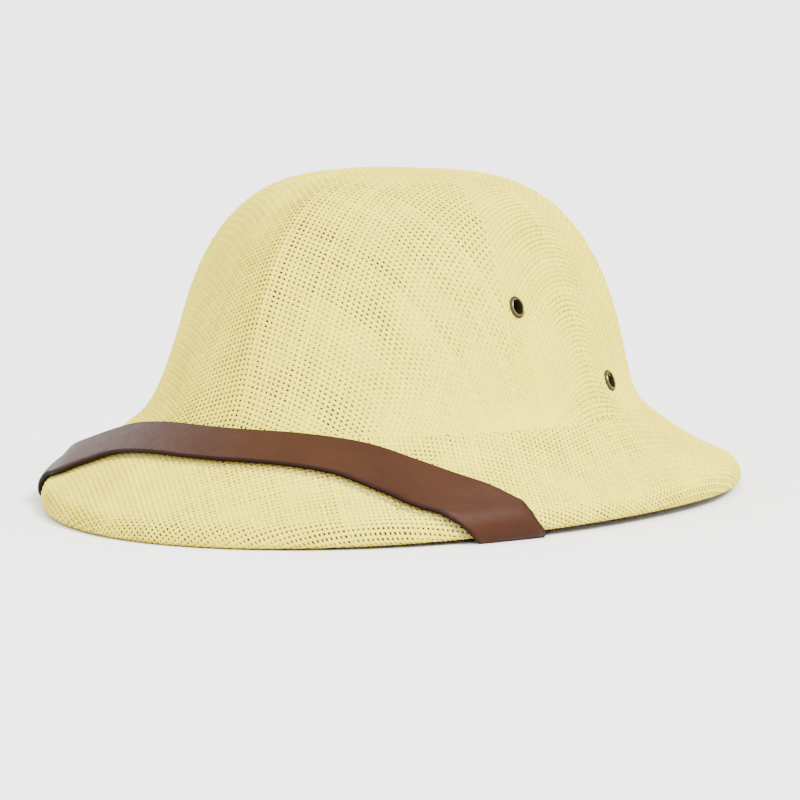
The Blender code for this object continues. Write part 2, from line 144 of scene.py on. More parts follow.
def even_angles(steps: int) -> np.ndarray:
    """Angles of even steps round the hat."""
    return np.arange(steps) * FULL_TURN / steps


def read_round(values: np.ndarray, angle: np.ndarray) -> np.ndarray:
    """Values stored at even steps round the hat, read at angles."""
    steps = np.arange(len(values) + 1) * FULL_TURN / len(values)
    return np.interp(np.mod(angle, FULL_TURN), steps, np.append(values, values[0]))


@dataclass(frozen=True)
class HatForm:
    """Sizes of the hat's skin, and the points that follow from them."""

    gap: float = 0.0003
    crown_half_width: float = 0.0907
    crown_front_reach: float = 0.1155
    crown_back_reach: float = 0.1021
    crown_height: float = 0.0967
    crown_wall: float = 0.0020
    flare_reach: float = 0.0057
    flare_fall: float = 0.0086
    front_edge_rise: float = 0.0019
    ridge_count: int = 6
    ridge_sharpness: float = 0.60
    ridge_fade_share: float = 0.50
    front_fullness: tuple[float, float] = (3.92, 1.25)
    side_fullness: tuple[float, float] = (3.57, 1.96)
    back_fullness: tuple[float, float] = (2.53, 1.73)
    rim_half_width: float = 0.1333
    rim_front_reach: float = 0.1867
    rim_back_reach: float = 0.1380
    crown_forward: float = 0.0125
    brim_drop: float = 0.0354
    brim_cloth: float = 0.0018
    front_dish: float = math.radians(2.0)
    side_dish: float = math.radians(9.0)
    shoulder_radius: float = 0.0085
    shoulder_top_share: float = 0.4
    lip_thickness: float = 0.0050
    flap_width: float = 0.0240
    flap_cloth: float = 0.0015
    neck_height: float = 0.0070
    neck_bend_share: float = 0.5
    facing_cloth: float = 0.0010
    band_rise: float = 0.0180
    band_hang: float = 0.0100
    band_thickness: float = 0.0016
    strap_thickness: float = 0.0021
    strap_press: float = 0.00035
    strap_rest_angle: float = math.radians(55.5)
    slope_step: float = 0.0002

    @property
    def widest_y(self) -> float:
        """Where the brim is widest, from front to back."""
        return (self.rim_front_reach - self.rim_back_reach) / 2

    @property
    def crown_y(self) -> float:
        """Where the crown's upright axis stands, from front to back."""
        return self.widest_y - self.crown_forward

    @property
    def rim_lift(self) -> float:
        """Height of the rim's low line at the widest place."""
        pressed = self.strap_thickness + self.gap - self.strap_press
        return pressed / math.sin(self.strap_rest_angle) ** 2

    def fullness(self, angle: np.ndarray, column: int) -> np.ndarray:
        """How square the crown's section is.

        Args:
            angle: Angles from the front.
            column: 0 for the way in, 1 for the way up.

        Returns:
            One power for each angle.
        """
        front, back = (np.maximum(way, 0.0) ** 2 for way in (np.cos(angle), -np.cos(angle)))
        ends = self.front_fullness[column] * front + self.back_fullness[column] * back
        return ends + self.side_fullness[column] * (1.0 - front - back)

    def ridge(self, angle: np.ndarray, height: np.ndarray) -> np.ndarray:
        """How far the panels between the ridges draw in.

        Args:
            angle: Angles from the front.
            height: Heights above the crown's edge.

        Returns:
            Shares of the reach that are left.
        """
        spread = FULL_TURN / self.ridge_count
        from_middle = np.mod(angle, spread) - spread / 2
        chord = math.cos(spread / 2) / np.cos(from_middle)
        fade = np.clip(height / self.crown_height / self.ridge_fade_share, 0.0, 1.0)
        return 1.0 - self.ridge_sharpness * fade * (1.0 - chord)

    def smooth_reach(self, angle: np.ndarray, height: np.ndarray) -> np.ndarray:
        """Distance of the crown's outside from its axis, leaving its ridges out.

        Args:
            angle: Angles from the front.
            height: Heights above the crown's edge.

        Returns:
            One distance for each angle and height.
        """
        depth = np.where(np.cos(angle) > 0, self.crown_front_reach, self.crown_back_reach)
        ellipse = 1.0 / np.hypot(np.sin(angle) / self.crown_half_width, np.cos(angle) / depth)
        share = np.clip(height / self.crown_height, 0.0, 1.0)
        rise = share ** (self.fullness(angle, 1) / 2)
        inward = np.maximum(1.0 - rise * rise, 0.0) ** (1.0 / self.fullness(angle, 0))
        return ellipse * inward + self.flare_reach * np.exp(-height / self.flare_fall)

    def reach(self, angle: np.ndarray, height: np.ndarray) -> np.ndarray:
        """Distance of the crown's outside from its axis."""
        return self.smooth_reach(angle, height) * self.ridge(angle, height)

    def reach_slope(self, angle: np.ndarray, height: np.ndarray) -> np.ndarray:
        """Change of reach with height."""
        low, high = np.maximum(height - self.slope_step, 0.0), height + self.slope_step
        return (self.reach(angle, high) - self.reach(angle, low)) / (high - low)

    def crown_point(self, angle: np.ndarray, reach: np.ndarray, height: np.ndarray) -> np.ndarray:
        """Points round the crown's axis.

        Args:
            angle: Angles from the front.
            reach: Distances from the axis.
            height: Heights above the crown's edge, which rises a little at the front.

        Returns:
            The points, along the last axis.
        """
        toward_edge = np.maximum(np.cos(angle), 0.0) ** 2 * (1.0 - height / self.crown_height)
        level = self.brim_drop + height + self.front_edge_rise * toward_edge
        x, y = reach * np.sin(angle), self.crown_y - reach * np.cos(angle)
        return np.stack(np.broadcast_arrays(x, y, level), -1)

    def skin_point(self, angle: np.ndarray, height: np.ndarray) -> np.ndarray:
        """Points of the crown's outside."""
        return self.crown_point(angle, self.reach(angle, height), height)

    def inner_reach(self, angle: np.ndarray, height: np.ndarray, depth: float) -> np.ndarray:
        """Distance from the crown's axis of points at a depth under its outside."""
        return self.reach(angle, height) - depth * np.hypot(1.0, self.reach_slope(angle, height))

    def inside_crown(self, angle: np.ndarray, height: np.ndarray, depth: float) -> np.ndarray:
        """Points at a depth under the crown's outside."""
        return self.crown_point(angle, self.inner_reach(angle, height, depth), height)

    def rim_point(self, angle: float) -> np.ndarray:
        """Outermost point of the brim, at the height of the lip's low line.

        Args:
            angle: Angle from the front.

        Returns:
            The point.
        """
        depth = self.rim_front_reach if math.cos(angle) > 0 else self.rim_back_reach
        across = self.rim_half_width * math.sin(angle)
        lift = self.rim_lift * math.sin(angle) ** 2
        return np.array([across, self.widest_y - depth * math.cos(angle), lift])


class BrimSection:
    """Upright section of the brim at one angle, as runs outward from the crown's edge and levels."""

    def __init__(self, form: HatForm, angle: float) -> None:
        """Work out the section's corners.

        Args:
            form: Sizes of the hat.
            angle: Angle from the front.
        """
        self.form = form
        self.angle = angle
        edge_angle, edge_height = np.array(angle), np.array(0.0)
        start = form.skin_point(edge_angle, edge_height)
        end = form.rim_point(angle)
        flat = (end - start)[:2]
        self.base = start
        self.run = float(np.hypot(*flat))
        self.outward = flat / self.run
        edge = float(form.reach_slope(edge_angle, edge_height))
        self.edge_out = np.array([1.0, -edge]) / math.hypot(edge, 1.0)
        down = np.array([-edge, -1.0]) / math.hypot(edge, 1.0)
        self.slope_start = np.array([0.0, start[2]]) + down * form.gap
        lip_level = float(end[2]) + form.lip_thickness / 2
        self.shoulder_centre = np.array([self.run - form.shoulder_radius, lip_level])
        self.lip_centre = np.array([self.run - form.lip_thickness / 2, lip_level])
        dish = form.side_dish + (form.front_dish - form.side_dish) * max(math.cos(angle), 0.0) ** 2
        top = self.shoulder_centre + form.shoulder_radius * np.array([form.shoulder_top_share, 1.0])
        fall = self.slope_start - top
        mean = math.atan2(fall[1], -fall[0])
        self.steep = mean + dish
        self.flat = mean - dish

    def slope(self, count: int) -> np.ndarray:
        """Dished slope from the crown's edge to the shoulder.

        Args:
            count: Number of points.

        Returns:
            Runs and levels of the points.
        """
        turn = np.array([math.sin(self.flat), math.cos(self.flat)])
        end = self.shoulder_centre + self.form.shoulder_radius * turn
        handle = float(np.hypot(*(end - self.slope_start))) / 3
        first = self.slope_start + handle * np.array([math.cos(self.steep), -math.sin(self.steep)])
        second = end - handle * np.array([math.cos(self.flat), -math.sin(self.flat)])
        return bezier((self.slope_start, first, second, end), np.linspace(0.0, 1.0, count))

    def shoulder(self, count: int) -> np.ndarray:
        """Round shoulder down to the outermost line."""
        turn = self.flat + (math.pi / 2 - self.flat) * np.linspace(0.0, 1.0, count)
        return self.shoulder_centre + self.form.shoulder_radius * np.stack([np.sin(turn), np.cos(turn)], -1)

    def lip(self, count: int) -> np.ndarray:
        """Round underside of the lip, from its outer to its inner side."""
        turn = math.pi * np.linspace(0.0, 1.0, count)
        return self.lip_centre + self.form.lip_thickness / 2 * np.stack([np.cos(turn), -np.sin(turn)], -1)

    def skin(self, count: int = SKIN_STEPS) -> np.ndarray:
        """Slope, shoulder and lip in one line."""
        return np.vstack([self.slope(count), self.shoulder(count)[1:], self.lip(count)[1:]])

    def under(self, runs: np.ndarray, depth: float) -> np.ndarray:
        """Points under the slope and the shoulder.

        Args:
            runs: Distances out from the crown's edge.
            depth: Thickness of cloth above the points.

        Returns:
            Runs and levels of the points.
        """
        top = np.vstack([self.slope(SKIN_STEPS), self.shoulder(SKIN_STEPS)[1:]])
        heights = np.interp(runs, top[:, 0], top[:, 1])
        slopes = np.interp(runs, top[:, 0], np.gradient(top[:, 1], top[:, 0]))
        return np.stack([runs, heights - depth * np.hypot(1.0, slopes)], -1)

    def cloth_start(self) -> float:
        """Distance out from the crown's edge where the cloth's underside turns up into the neck."""
        wall = self.form.crown_wall + self.form.gap + self.form.brim_cloth
        return float(self.slope_start[0] - wall * self.edge_out[0] * self.form.neck_bend_share)

    def place(self, flat: np.ndarray) -> np.ndarray:
        """World points of points of the section."""
        plan = self.base[:2] + flat[:, :1] * self.outward
        return np.hstack([plan, flat[:, 1:]])


class SkinTable:
    """A skin as rows of points round the hat, read at an angle and a share of the way along its rows."""

    def __init__(
        self, sections: list[BrimSection], lines: Sequence, measures: Sequence, samples: int = 160
    ) -> None:
        """Space the rows' points evenly.

        Args:
            sections: Sections of the brim, at even steps round the hat.
            lines: Runs and levels of each row's points.
            measures: Distances along each row to its points.
            samples: Points to keep of each row.
        """
        shares = np.linspace(0.0, 1.0, samples)
        self.total = np.array([measure[-1] for measure in measures])
        grid = []
        for section, line, measure in zip(sections, lines, measures):
            row, places = section.place(line), shares * measure[-1]
            grid.append(np.stack([np.interp(places, measure, row[:, k]) for k in range(3)], -1))
        self.points = np.array(grid)
        self.steps = len(sections)
        around = np.roll(self.points, -1, 0) - np.roll(self.points, 1, 0)
        along = np.gradient(self.points, axis=1)
        self.normals = unit(np.cross(along, around))

    def read(self, table: np.ndarray, angle: np.ndarray, share: np.ndarray) -> np.ndarray:
        """Values of a table between its rows and samples.

        Args:
            table: One of the tables, rows by samples by three.
            angle: Angles from the front.
            share: Shares of the way along the rows.

        Returns:
            One value for each angle and share.
        """
        row = np.mod(angle, FULL_TURN) / FULL_TURN * self.steps
        low = np.floor(row).astype(int)
        turn = (row - low)[..., None]
        low, high = low % self.steps, (low + 1) % self.steps
        column = np.clip(share, 0.0, 1.0) * (table.shape[1] - 1)
        left = np.minimum(np.floor(column).astype(int), table.shape[1] - 2)
        part = (column - left)[..., None]
        first = mix(table[low, left], table[low, left + 1], part)
        second = mix(table[high, left], table[high, left + 1], part)
        return mix(first, second, turn)

    def at(self, angle: np.ndarray, share: np.ndarray) -> tuple[np.ndarray, np.ndarray]:
        """Points and outward directions."""
        return self.read(self.points, angle, share), unit(self.read(self.normals, angle, share))

    def length(self, angle: np.ndarray) -> np.ndarray:
        """Whole measure of the rows at angles."""
        return read_round(self.total, angle)


# ---- meshes


def add_object(name: str, data: bpy.types.ID) -> bpy.types.Object:
    """Add an object to the scene.

    Args:
        name: Name of the object.
        data: Its mesh, light or camera.

    Returns:
        The object.
    """
    made = bpy.data.objects.new(name, data)
    bpy.context.collection.objects.link(made)
    return made


def grid_faces(
    rows: int, columns: int, close_rows: bool, close_columns: bool, start: int = 0
) -> list[tuple[int, ...]]:
    """Four-sided faces of a grid of points stored row by row.

    Args:
        rows: Number of rows.
        columns: Number of points in a row.
        close_rows: Whether the last row joins the first.
        close_columns: Whether a row's last point joins its first.
        start: Number of the grid's first point.

    Returns:
        Point numbers of each face.
    """
    faces = []
    for i in range(rows if close_rows else rows - 1):
        below, above = start + i * columns, start + ((i + 1) % rows) * columns
        for j in range(columns if close_columns else columns - 1):
            k = (j + 1) % columns
            faces.append((below + j, below + k, above + k, above + j))
    return faces


def make_mesh(name: str, points: np.ndarray, faces: Iterable[Sequence[int]]) -> bpy.types.Object:
    """Closed, smooth-shaded piece from points and faces, with its faces turned outward.

    Args:
        name: Name of the piece.
        points: Points, one row each.
        faces: Point numbers of each face.

    Returns:
        The new object, linked to the scene.
    """
    mesh = bpy.data.meshes.new(name)
    mesh.from_pydata([tuple(p) for p in points], [], [tuple(f) for f in faces])
    body = bmesh.new()
    body.from_mesh(mesh)
    bmesh.ops.recalc_face_normals(body, faces=body.faces)
    body.to_mesh(mesh)
    body.free()
    mesh.shade_smooth()
    mesh.set_sharp_from_angle(angle=math.radians(40))
    return add_object(name, mesh)


def store_map(piece: bpy.types.Object, places: np.ndarray) -> None:
    """Store the cloth map on a piece.

    Args:
        piece: The piece.
        places: One pair of numbers for each of its points.
    """
    mesh = piece.data
    corners = np.empty(len(mesh.loops), np.int32)
    mesh.loops.foreach_get("vertex_index", corners)
    layer = mesh.uv_layers.new(name=CLOTH_MAP)
    layer.uv.foreach_set("vector", places[corners].astype(np.float32).ravel())


def store_value(piece: bpy.types.Object, name: str, values: np.ndarray) -> None:
    """Store one number for each point of a piece."""
    piece.data.attributes.new(name, "FLOAT", "POINT").data.foreach_set("value", values.astype(np.float32))


def applied(piece: bpy.types.Object) -> bpy.types.Mesh:
    """Plain mesh of a piece with its modifiers at work."""
    graph = bpy.context.evaluated_depsgraph_get()
    return bpy.data.meshes.new_from_object(piece.evaluated_get(graph), depsgraph=graph)


def ring_solid(name: str, loops: Sequence[np.ndarray], maps: np.ndarray) -> bpy.types.Object:
    """Closed ring whose section at each angle is a closed loop of points.

    Args:
        name: Name of the piece.
        loops: Points of each section.
        maps: Place of each point on the cloth map.

    Returns:
        The piece.
    """
    piece = make_mesh(name, np.vstack(loops), grid_faces(len(loops), len(loops[0]), True, True))
    store_map(piece, maps)
    return piece


def dress(piece: bpy.types.Object, finish: bpy.types.Material, slot: str) -> None:
    """Give a finished piece its material and its body, and log its slot.

    Args:
        piece: The piece.
        finish: Its material.
        slot: Its material slot in the part's record, which is only logged.
    """
    if not piece.data.materials:
        piece.data.materials.append(finish)
    else:
        piece.data.materials[0] = finish
    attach(piece, ROOT)
    LOG.info("%s: %d faces, %s", piece.name, len(piece.data.polygons), slot)


# ---- geometry nodes


class NodeBench:
    """Short way to add nodes to a tree and to join them."""

    def __init__(self, tree: bpy.types.NodeTree) -> None:
        """Work on a tree."""
        self.tree = tree

    def feed(self, socket: bpy.types.NodeSocket, value: object) -> None:
        """Link a socket to its source, or set its value.

        Args:
            socket: The socket.
            value: A value, a socket or a wrapped socket.
        """
        source = getattr(value, "socket", value)
        if isinstance(source, bpy.types.NodeSocket):
            self.tree.links.new(source, socket)
        else:
            socket.default_value = source

    def node(self, kind: str, settings: dict | None = None, inputs: dict | None = None) -> bpy.types.Node:
        """Add one node.

        Args:
            kind: Blender's name for the node's type.
            settings: The node's own settings, set first.
            inputs: Socket name or number to a value, a socket or a wrapped socket.

        Returns:
            The node.
        """
        made = self.tree.nodes.new(kind)
        for key, value in (settings or {}).items():
            setattr(made, key, value)
        for key, value in (inputs or {}).items():
            self.feed(made.inputs[key], value)
        return made


class GeometryTree(NodeBench):
    """A geometry node tree with named inputs."""

    def __init__(self, name: str, inputs: dict[str, str]) -> None:
        """Start the tree.

        Args:
            name: Name of the tree.
            inputs: Name of each input to the type of its socket.
        """
        super().__init__(bpy.data.node_groups.new(name, "GeometryNodeTree"))
        sockets = self.tree.interface
        for way in ("INPUT", "OUTPUT"):
            sockets.new_socket("Geometry", in_out=way, socket_type="NodeSocketGeometry")
        self.identifiers = {
            key: sockets.new_socket(key, in_out="INPUT", socket_type=kind).identifier
            for key, kind in inputs.items()
        }
        self.source = self.tree.nodes.new("NodeGroupInput").outputs
        self.result = self.tree.nodes.new("NodeGroupOutput").inputs

    def named(self, name: str, kind: str = "FLOAT") -> bpy.types.NodeSocket:
        """Socket of a named attribute."""
        made = self.node("GeometryNodeInputNamedAttribute", {"data_type": kind}, {"Name": name})
        return made.outputs["Attribute"]

    def maths(self, operation: str, *values: object) -> bpy.types.NodeSocket:
        """Socket of one Math node."""
        return self.node("ShaderNodeMath", {"operation": operation}, dict(enumerate(values))).outputs[0]

    def store(
        self, geometry: bpy.types.NodeSocket, name: str, value: bpy.types.NodeSocket, **settings: str
    ) -> bpy.types.NodeSocket:
        """Socket of geometry with a value stored on it as a named attribute."""
        inputs = {"Geometry": geometry, "Name": name, "Value": value}
        return self.node("GeometryNodeStoreNamedAttribute", settings, inputs).outputs[0]

    def grow(self, carrier: bpy.types.Object, values: dict[str, object], name: str) -> bpy.types.Object:
        """Run the tree on a carrier and keep the result as a plain mesh.

        Args:
            carrier: Object that the tree starts from. It is removed.
            values: Value of each named input.
            name: Name of the new piece.

        Returns:
            The new piece.
        """
        modifier = carrier.modifiers.new(self.tree.name, "NODES")
        modifier.node_group = self.tree
        for key, value in values.items():
            modifier[self.identifiers[key]] = value
        mesh = applied(carrier)
        mesh.name = name
        carrier.modifiers.remove(modifier)
        old = carrier.data
        bpy.data.objects.remove(carrier, do_unlink=True)
        bpy.data.meshes.remove(old)
        return add_object(name, mesh)


class ThreadPaths:
    """Lines that threads follow, with the numbers that the weaving tree reads from their points.

    A line has its points, the directions out of the cloth, where it passes over (1) or under (-1), shares
    of its whole width, and its look: glazed (0), the darker underside colour, painted shade (1), the painted
    shade of the dark groove inside the lip (2), or the strap's painted shadow (-1).
    """

    def __init__(self) -> None:
        """Start with no threads."""
        self.lines: list[tuple[np.ndarray, ...]] = []

    def add(self, *line: np.ndarray) -> None:
        """Add one thread."""
        self.lines.append(line)

    def add_runs(
        self, line: tuple[np.ndarray, ...], valid: np.ndarray, least: float = -1.0, most: float = math.inf
    ) -> None:
        """Add each unbroken run of valid points as a thread.

        Args:
            line: Points, directions and numbers along one line.
            valid: Whether each point lies on the cloth.
            least: Points that follow within this distance are left out.
            most: Points that follow beyond this distance are left out.
        """
        cuts = np.flatnonzero(np.diff(valid.astype(int)) != 0) + 1
        for part in np.split(np.arange(len(valid)), cuts):
            if len(part) < 2 or not valid[part[0]]:
                continue
            steps = np.linalg.norm(np.diff(line[0][part], axis=0), axis=1)
            part = part[np.append(True, (steps > least) & (steps < most))]
            if len(part) > 1:
                self.add(*(values[part] for values in line))

    def carrier(self, name: str) -> bpy.types.Object:
        """Object of loose edges that carries every thread.

        Args:
            name: Name of the object.

        Returns:
            The object.
        """
        points, outs, waves, fulls, turned = (np.concatenate(column) for column in zip(*self.lines))
        edges, strips, alongs = [], [], []
        start = 0
        for number, (line, *_) in enumerate(self.lines):
            edges += [(start + k, start + k + 1) for k in range(len(line) - 1)]
            start += len(line)
            alongs.append(running_total(np.linalg.norm(np.diff(line, axis=0), axis=1)))
            strips.append(np.full(len(line), float(number)))
        longest = max(along[-1] for along in alongs)
        values = {
            "wave": waves,
            "full": fulls,
            "turned": turned,
            "strip": np.concatenate(strips) / len(self.lines),
            "along": np.concatenate(alongs) / longest,
        }
        mesh = bpy.data.meshes.new(name)
        mesh.from_pydata([tuple(p) for p in points], edges, [])
        piece = add_object(name, mesh)
        for key, value in values.items():
            store_value(piece, key, value)
        layer = mesh.attributes.new("out", "FLOAT_VECTOR", "POINT")
        layer.data.foreach_set("vector", outs.astype(np.float32).ravel())
        return piece


class WeavingTree(GeometryTree):
    """Tree that turns thread lines into arched straws that pass over and under each other."""

    SIZES = ("Straw Width", "Straw Arch", "Weave Rise", "Width Spread", "Patch Spread", "Strip Width")
    STRIP_NUMBERS = 65521.0
    PATCHES = {"Scale": 55.0, "Detail": 2.0}
    PATCH_WEIGHT = 2.6
    SPECKS = {"Scale": 420.0, "Detail": 0.0}
    SPECK_WEIGHT = 0.9
    SIDE_MARGIN = 0.06
    END_MARGIN = 0.002

    def __init__(self) -> None:
        """Join the nodes of the tree."""
        kinds = {**dict.fromkeys(self.SIZES, "NodeSocketFloat"), "Seed": "NodeSocketInt"}
        super().__init__("weaving", {**kinds, "Material": "NodeSocketMaterial"})
        out = self.named("out", "FLOAT_VECTOR")
        rise = self.maths("MULTIPLY", self.named("wave"), self.source["Weave Rise"])
        offset = self.node("ShaderNodeVectorMath", {"operation": "SCALE"}, {0: out, "Scale": rise})
        inputs = {"Geometry": self.source["Geometry"], "Offset": offset.outputs[0]}
        moved = self.node("GeometryNodeSetPosition", None, inputs)
        curve = self.node("GeometryNodeMeshToCurve", None, {"Mesh": moved.outputs[0]})
        inputs = {"Curve": curve.outputs[0], "Normal": out}
        turned = self.node("GeometryNodeSetCurveNormal", {"mode": "FREE"}, inputs)
        inputs = {"Curve": turned.outputs[0], "Profile Curve": self.profile(), "Scale": self.width_share()}
        swept = self.node("GeometryNodeCurveToMesh", None, inputs)
        kinds = {"data_type": "FLOAT2", "domain": "CORNER"}
        mapped = self.store(swept.outputs[0], BAKE_MAP, self.bake_place(), **kinds)
        smooth = self.node("GeometryNodeSetShadeSmooth", None, {"Geometry": mapped})
        real = self.node("GeometryNodeRealizeInstances", None, {"Geometry": smooth.outputs[0]})
        inputs = {"Geometry": real.outputs[0], "Material": self.source["Material"]}
        self.feed(self.result[0], self.node("GeometryNodeSetMaterial", None, inputs).outputs[0])

    def profile(self) -> bpy.types.NodeSocket:
        """Arc across a straw, which also stores its places from side to side.

        Returns:
            Socket of the arc.
        """
        half = self.maths("MULTIPLY", self.source["Straw Width"], 0.5)
        sink = self.maths("MULTIPLY", self.source["Straw Arch"], -1.0)
        left = self.node("ShaderNodeCombineXYZ", None, {0: sink, 1: self.maths("MULTIPLY", half, -1.0)})
        right = self.node("ShaderNodeCombineXYZ", None, {0: sink, 1: half})
        inputs = {"Resolution": 3, "Start": right.outputs[0], "Middle": (0.0, 0.0, 0.0), "End": left.outputs[0]}
        arc = self.node("GeometryNodeCurveArc", {"mode": "POINTS"}, inputs)
        across = self.node("GeometryNodeSplineParameter").outputs["Factor"]
        return self.store(arc.outputs[0], "across", across, data_type="FLOAT", domain="POINT")

    def width_share(self) -> bpy.types.NodeSocket:
        """Share of its whole width that a straw has at each point.

        Returns:
            Socket of the share.
        """
        spread = self.source["Width Spread"]
        number = self.maths("MULTIPLY", self.named("strip"), self.STRIP_NUMBERS)
        inputs = {
            "Min": self.maths("SUBTRACT", 1.0, spread),
            "Max": self.maths("ADD", 1.0, spread),
            "ID": self.node("FunctionNodeFloatToInt", None, {0: number}).outputs[0],
            "Seed": self.source["Seed"],
        }
        straws = self.node("FunctionNodeRandomValue", {"data_type": "FLOAT"}, inputs)
        spot = self.node("GeometryNodeInputPosition").outputs[0]
        patches = self.node("ShaderNodeTexNoise", None, {"Vector": spot, **self.PATCHES}).outputs[0]
        specks = self.node("ShaderNodeTexNoise", None, {"Vector": spot, **self.SPECKS}).outputs[0]
        looks = ((patches, self.PATCH_WEIGHT), (specks, self.SPECK_WEIGHT))
        uneven = self.maths("ADD", *(self.maths("MULTIPLY", *look) for look in looks))
        uneven = self.maths("SUBTRACT", uneven, (self.PATCH_WEIGHT + self.SPECK_WEIGHT) / 2)
        uneven = self.maths("MULTIPLY_ADD", uneven, self.source["Patch Spread"], 1.0)
        share = self.maths("MULTIPLY", next(s for s in straws.outputs if s.enabled), uneven)
        return self.maths("MULTIPLY", share, self.named("full"))

    def bake_place(self) -> bpy.types.NodeSocket:
        """Place on the bake map, where each straw has its own upright strip.

        Returns:
            Socket of the place.
        """
        across = self.maths("MULTIPLY_ADD", self.named("across"), 1.0 - 2 * self.SIDE_MARGIN, self.SIDE_MARGIN)
        u = self.maths("MULTIPLY_ADD", across, self.source["Strip Width"], self.named("strip"))
        v = self.maths("MULTIPLY_ADD", self.named("along"), 1.0 - 2 * self.END_MARGIN, self.END_MARGIN)
        return self.node("ShaderNodeCombineXYZ", None, {0: u, 1: v}).outputs[0]


@dataclass(frozen=True)
class StrawWeave:
    """Sizes of one plain-woven straw cloth."""

    pitch: float = 0.00205
    width: float = 0.00140
    arch: float = 0.00024
    rise: float = 0.00022
    spread: float = 0.10
    patch_spread: float = 0.28
    depth: float = 0.00028
    ground: float = 0.00075
    loosening: float = 0.0
    loose_from: float = 0.8

    def weave(
        self, tree: WeavingTree, paths: ThreadPaths, name: str, finish: bpy.types.Material, seed: int
    ) -> None:
        """Build the threads of this cloth along the given paths.

        Args:
            tree: The weaving tree.
            paths: Lines that the threads follow.
            name: Name of the piece.
            finish: Material of the threads.
            seed: Fixed seed of the threads' widths.
        """
        sizes = (self.width, self.arch, self.rise, self.spread, self.patch_spread, 1.0 / len(paths.lines))
        values = {**dict(zip(tree.SIZES, sizes)), "Seed": seed, "Material": finish}
        dress(tree.grow(paths.carrier(name + "_lines"), values, name), finish, "straw_cloth")


# ---- materials


class Wire:
    """A socket that can be used in sums."""

    def __init__(self, bench: ShaderBench, socket: bpy.types.NodeSocket) -> None:
        """Wrap a socket of a bench's tree."""
        self.bench = bench
        self.socket = socket

    def sum(self, operation: str, first: object, second: object = 0.0) -> Wire:
        """Result of one Math node."""
        return self.bench.wire("ShaderNodeMath", {"operation": operation}, {0: first, 1: second})

    def __add__(self, other: object) -> Wire:
        """This value and another."""
        return self.sum("ADD", self, other)

    def __radd__(self, other: object) -> Wire:
        """Another value and this one."""
        return self.sum("ADD", other, self)

    def __sub__(self, other: object) -> Wire:
        """This value less another."""
        return self.sum("SUBTRACT", self, other)

    def __rsub__(self, other: object) -> Wire:
        """Another value less this one."""
        return self.sum("SUBTRACT", other, self)

    def __mul__(self, other: object) -> Wire:
        """This value times another."""
        return self.sum("MULTIPLY", self, other)

    def __rmul__(self, other: object) -> Wire:
        """Another value times this one."""
        return self.sum("MULTIPLY", other, self)

    def __truediv__(self, other: object) -> Wire:
        """This value over another."""
        return self.sum("DIVIDE", self, other)

    def __rtruediv__(self, other: object) -> Wire:
        """Another value over this one."""
        return self.sum("DIVIDE", other, self)

    def power(self, exponent: float) -> Wire:
        """This value to a power."""
        return self.sum("POWER", self, exponent)

    def size(self) -> Wire:
        """This value without its sign."""
        return self.sum("ABSOLUTE", self)

    def wave(self) -> Wire:
        """Sine of this value."""
        return self.sum("SINE", self)

    def within(self) -> Wire:
        """This value kept between 0 and 1."""
        return self.bench.wire("ShaderNodeClamp", None, {0: self})


class ShaderBench(NodeBench):
    """A material's tree, with short ways to make its patterns."""

    def __init__(self, name: str) -> None:
        """Start an empty material.

        Args:
            name: Name of the material.
        """
        self.material = bpy.data.materials.new(name)
        self.material.use_nodes = True
        super().__init__(self.material.node_tree)
        self.tree.nodes.clear()

    def wire(
        self, kind: str, settings: dict | None = None, inputs: dict | None = None, output: object = 0
    ) -> Wire:
        """One output of a new node, ready for sums."""
        return Wire(self, self.node(kind, settings, inputs).outputs[output])

    @cached_property
    def where(self) -> Wire:
        """Object coordinates, from one node."""
        return self.wire("ShaderNodeTexCoord", None, None, "Object")

    def attribute(self, name: str) -> Wire:
        """Number stored on the piece."""
        return self.wire("ShaderNodeAttribute", {"attribute_name": name}, None, "Fac")

    def cloth(self) -> tuple[Wire, Wire]:
        """Distances along and across the piece's cloth map."""
        source = {0: self.wire("ShaderNodeUVMap", {"uv_map": CLOTH_MAP})}
        return tuple(Wire(self, way) for way in self.node("ShaderNodeSeparateXYZ", None, source).outputs[:2])

    def noise(self, scale: float, detail: float = 2.0, roughness: float = 0.5) -> Wire:
        """Noise between 0 and 1 at a number of patches to a metre."""
        inputs = {"Vector": self.where, "Scale": scale, "Detail": detail, "Roughness": roughness}
        return self.wire("ShaderNodeTexNoise", None, inputs)

    def blend(self, share: object, first: Wire | Colour, second: Wire | Colour) -> Wire:
        """Mix two colours.

        Args:
            share: Share of the second colour.
            first: A colour.
            second: Another.

        Returns:
            The mixed colour.
        """
        made = self.node("ShaderNodeMix", {"data_type": "RGBA"}, {0: share})
        for index, colour in ((6, first), (7, second)):
            self.feed(made.inputs[index], colour if isinstance(colour, Wire) else (*colour, 1.0))
        return Wire(self, made.outputs[2])

    def bump(self, height: Wire, distance: float, strength: float = 1.0) -> Wire:
        """Bumped normal from a height."""
        return self.wire("ShaderNodeBump", None, {"Height": height, "Distance": distance, "Strength": strength})

    def surface(self, **inputs: object) -> bpy.types.Material:
        """Finish the material with a Principled shader.

        Args:
            inputs: Name of each of its sockets, with _ for a space, to a value or a source.

        Returns:
            The material.
        """
        named = {key.replace("_", " "): value for key, value in inputs.items()}
        shader = self.node("ShaderNodeBsdfPrincipled", None, named)
        self.node("ShaderNodeOutputMaterial", None, {0: shader.outputs[0]})
        return self.material

    def plain_weave(self, pitch: float) -> Wire:
        """Height of a plain weave whose threads follow the cloth map.

        Args:
            pitch: Distance between threads, in metres.

        Returns:
            Height from 0 to 1.
        """
        along, across = self.cloth()
        turn = math.pi / pitch
        first, second = (along * turn).wave(), (across * turn).wave()
        parity = (first * second * 4.0 + 0.5).within()
        return first.size() * parity + second.size() * (1.0 - parity)


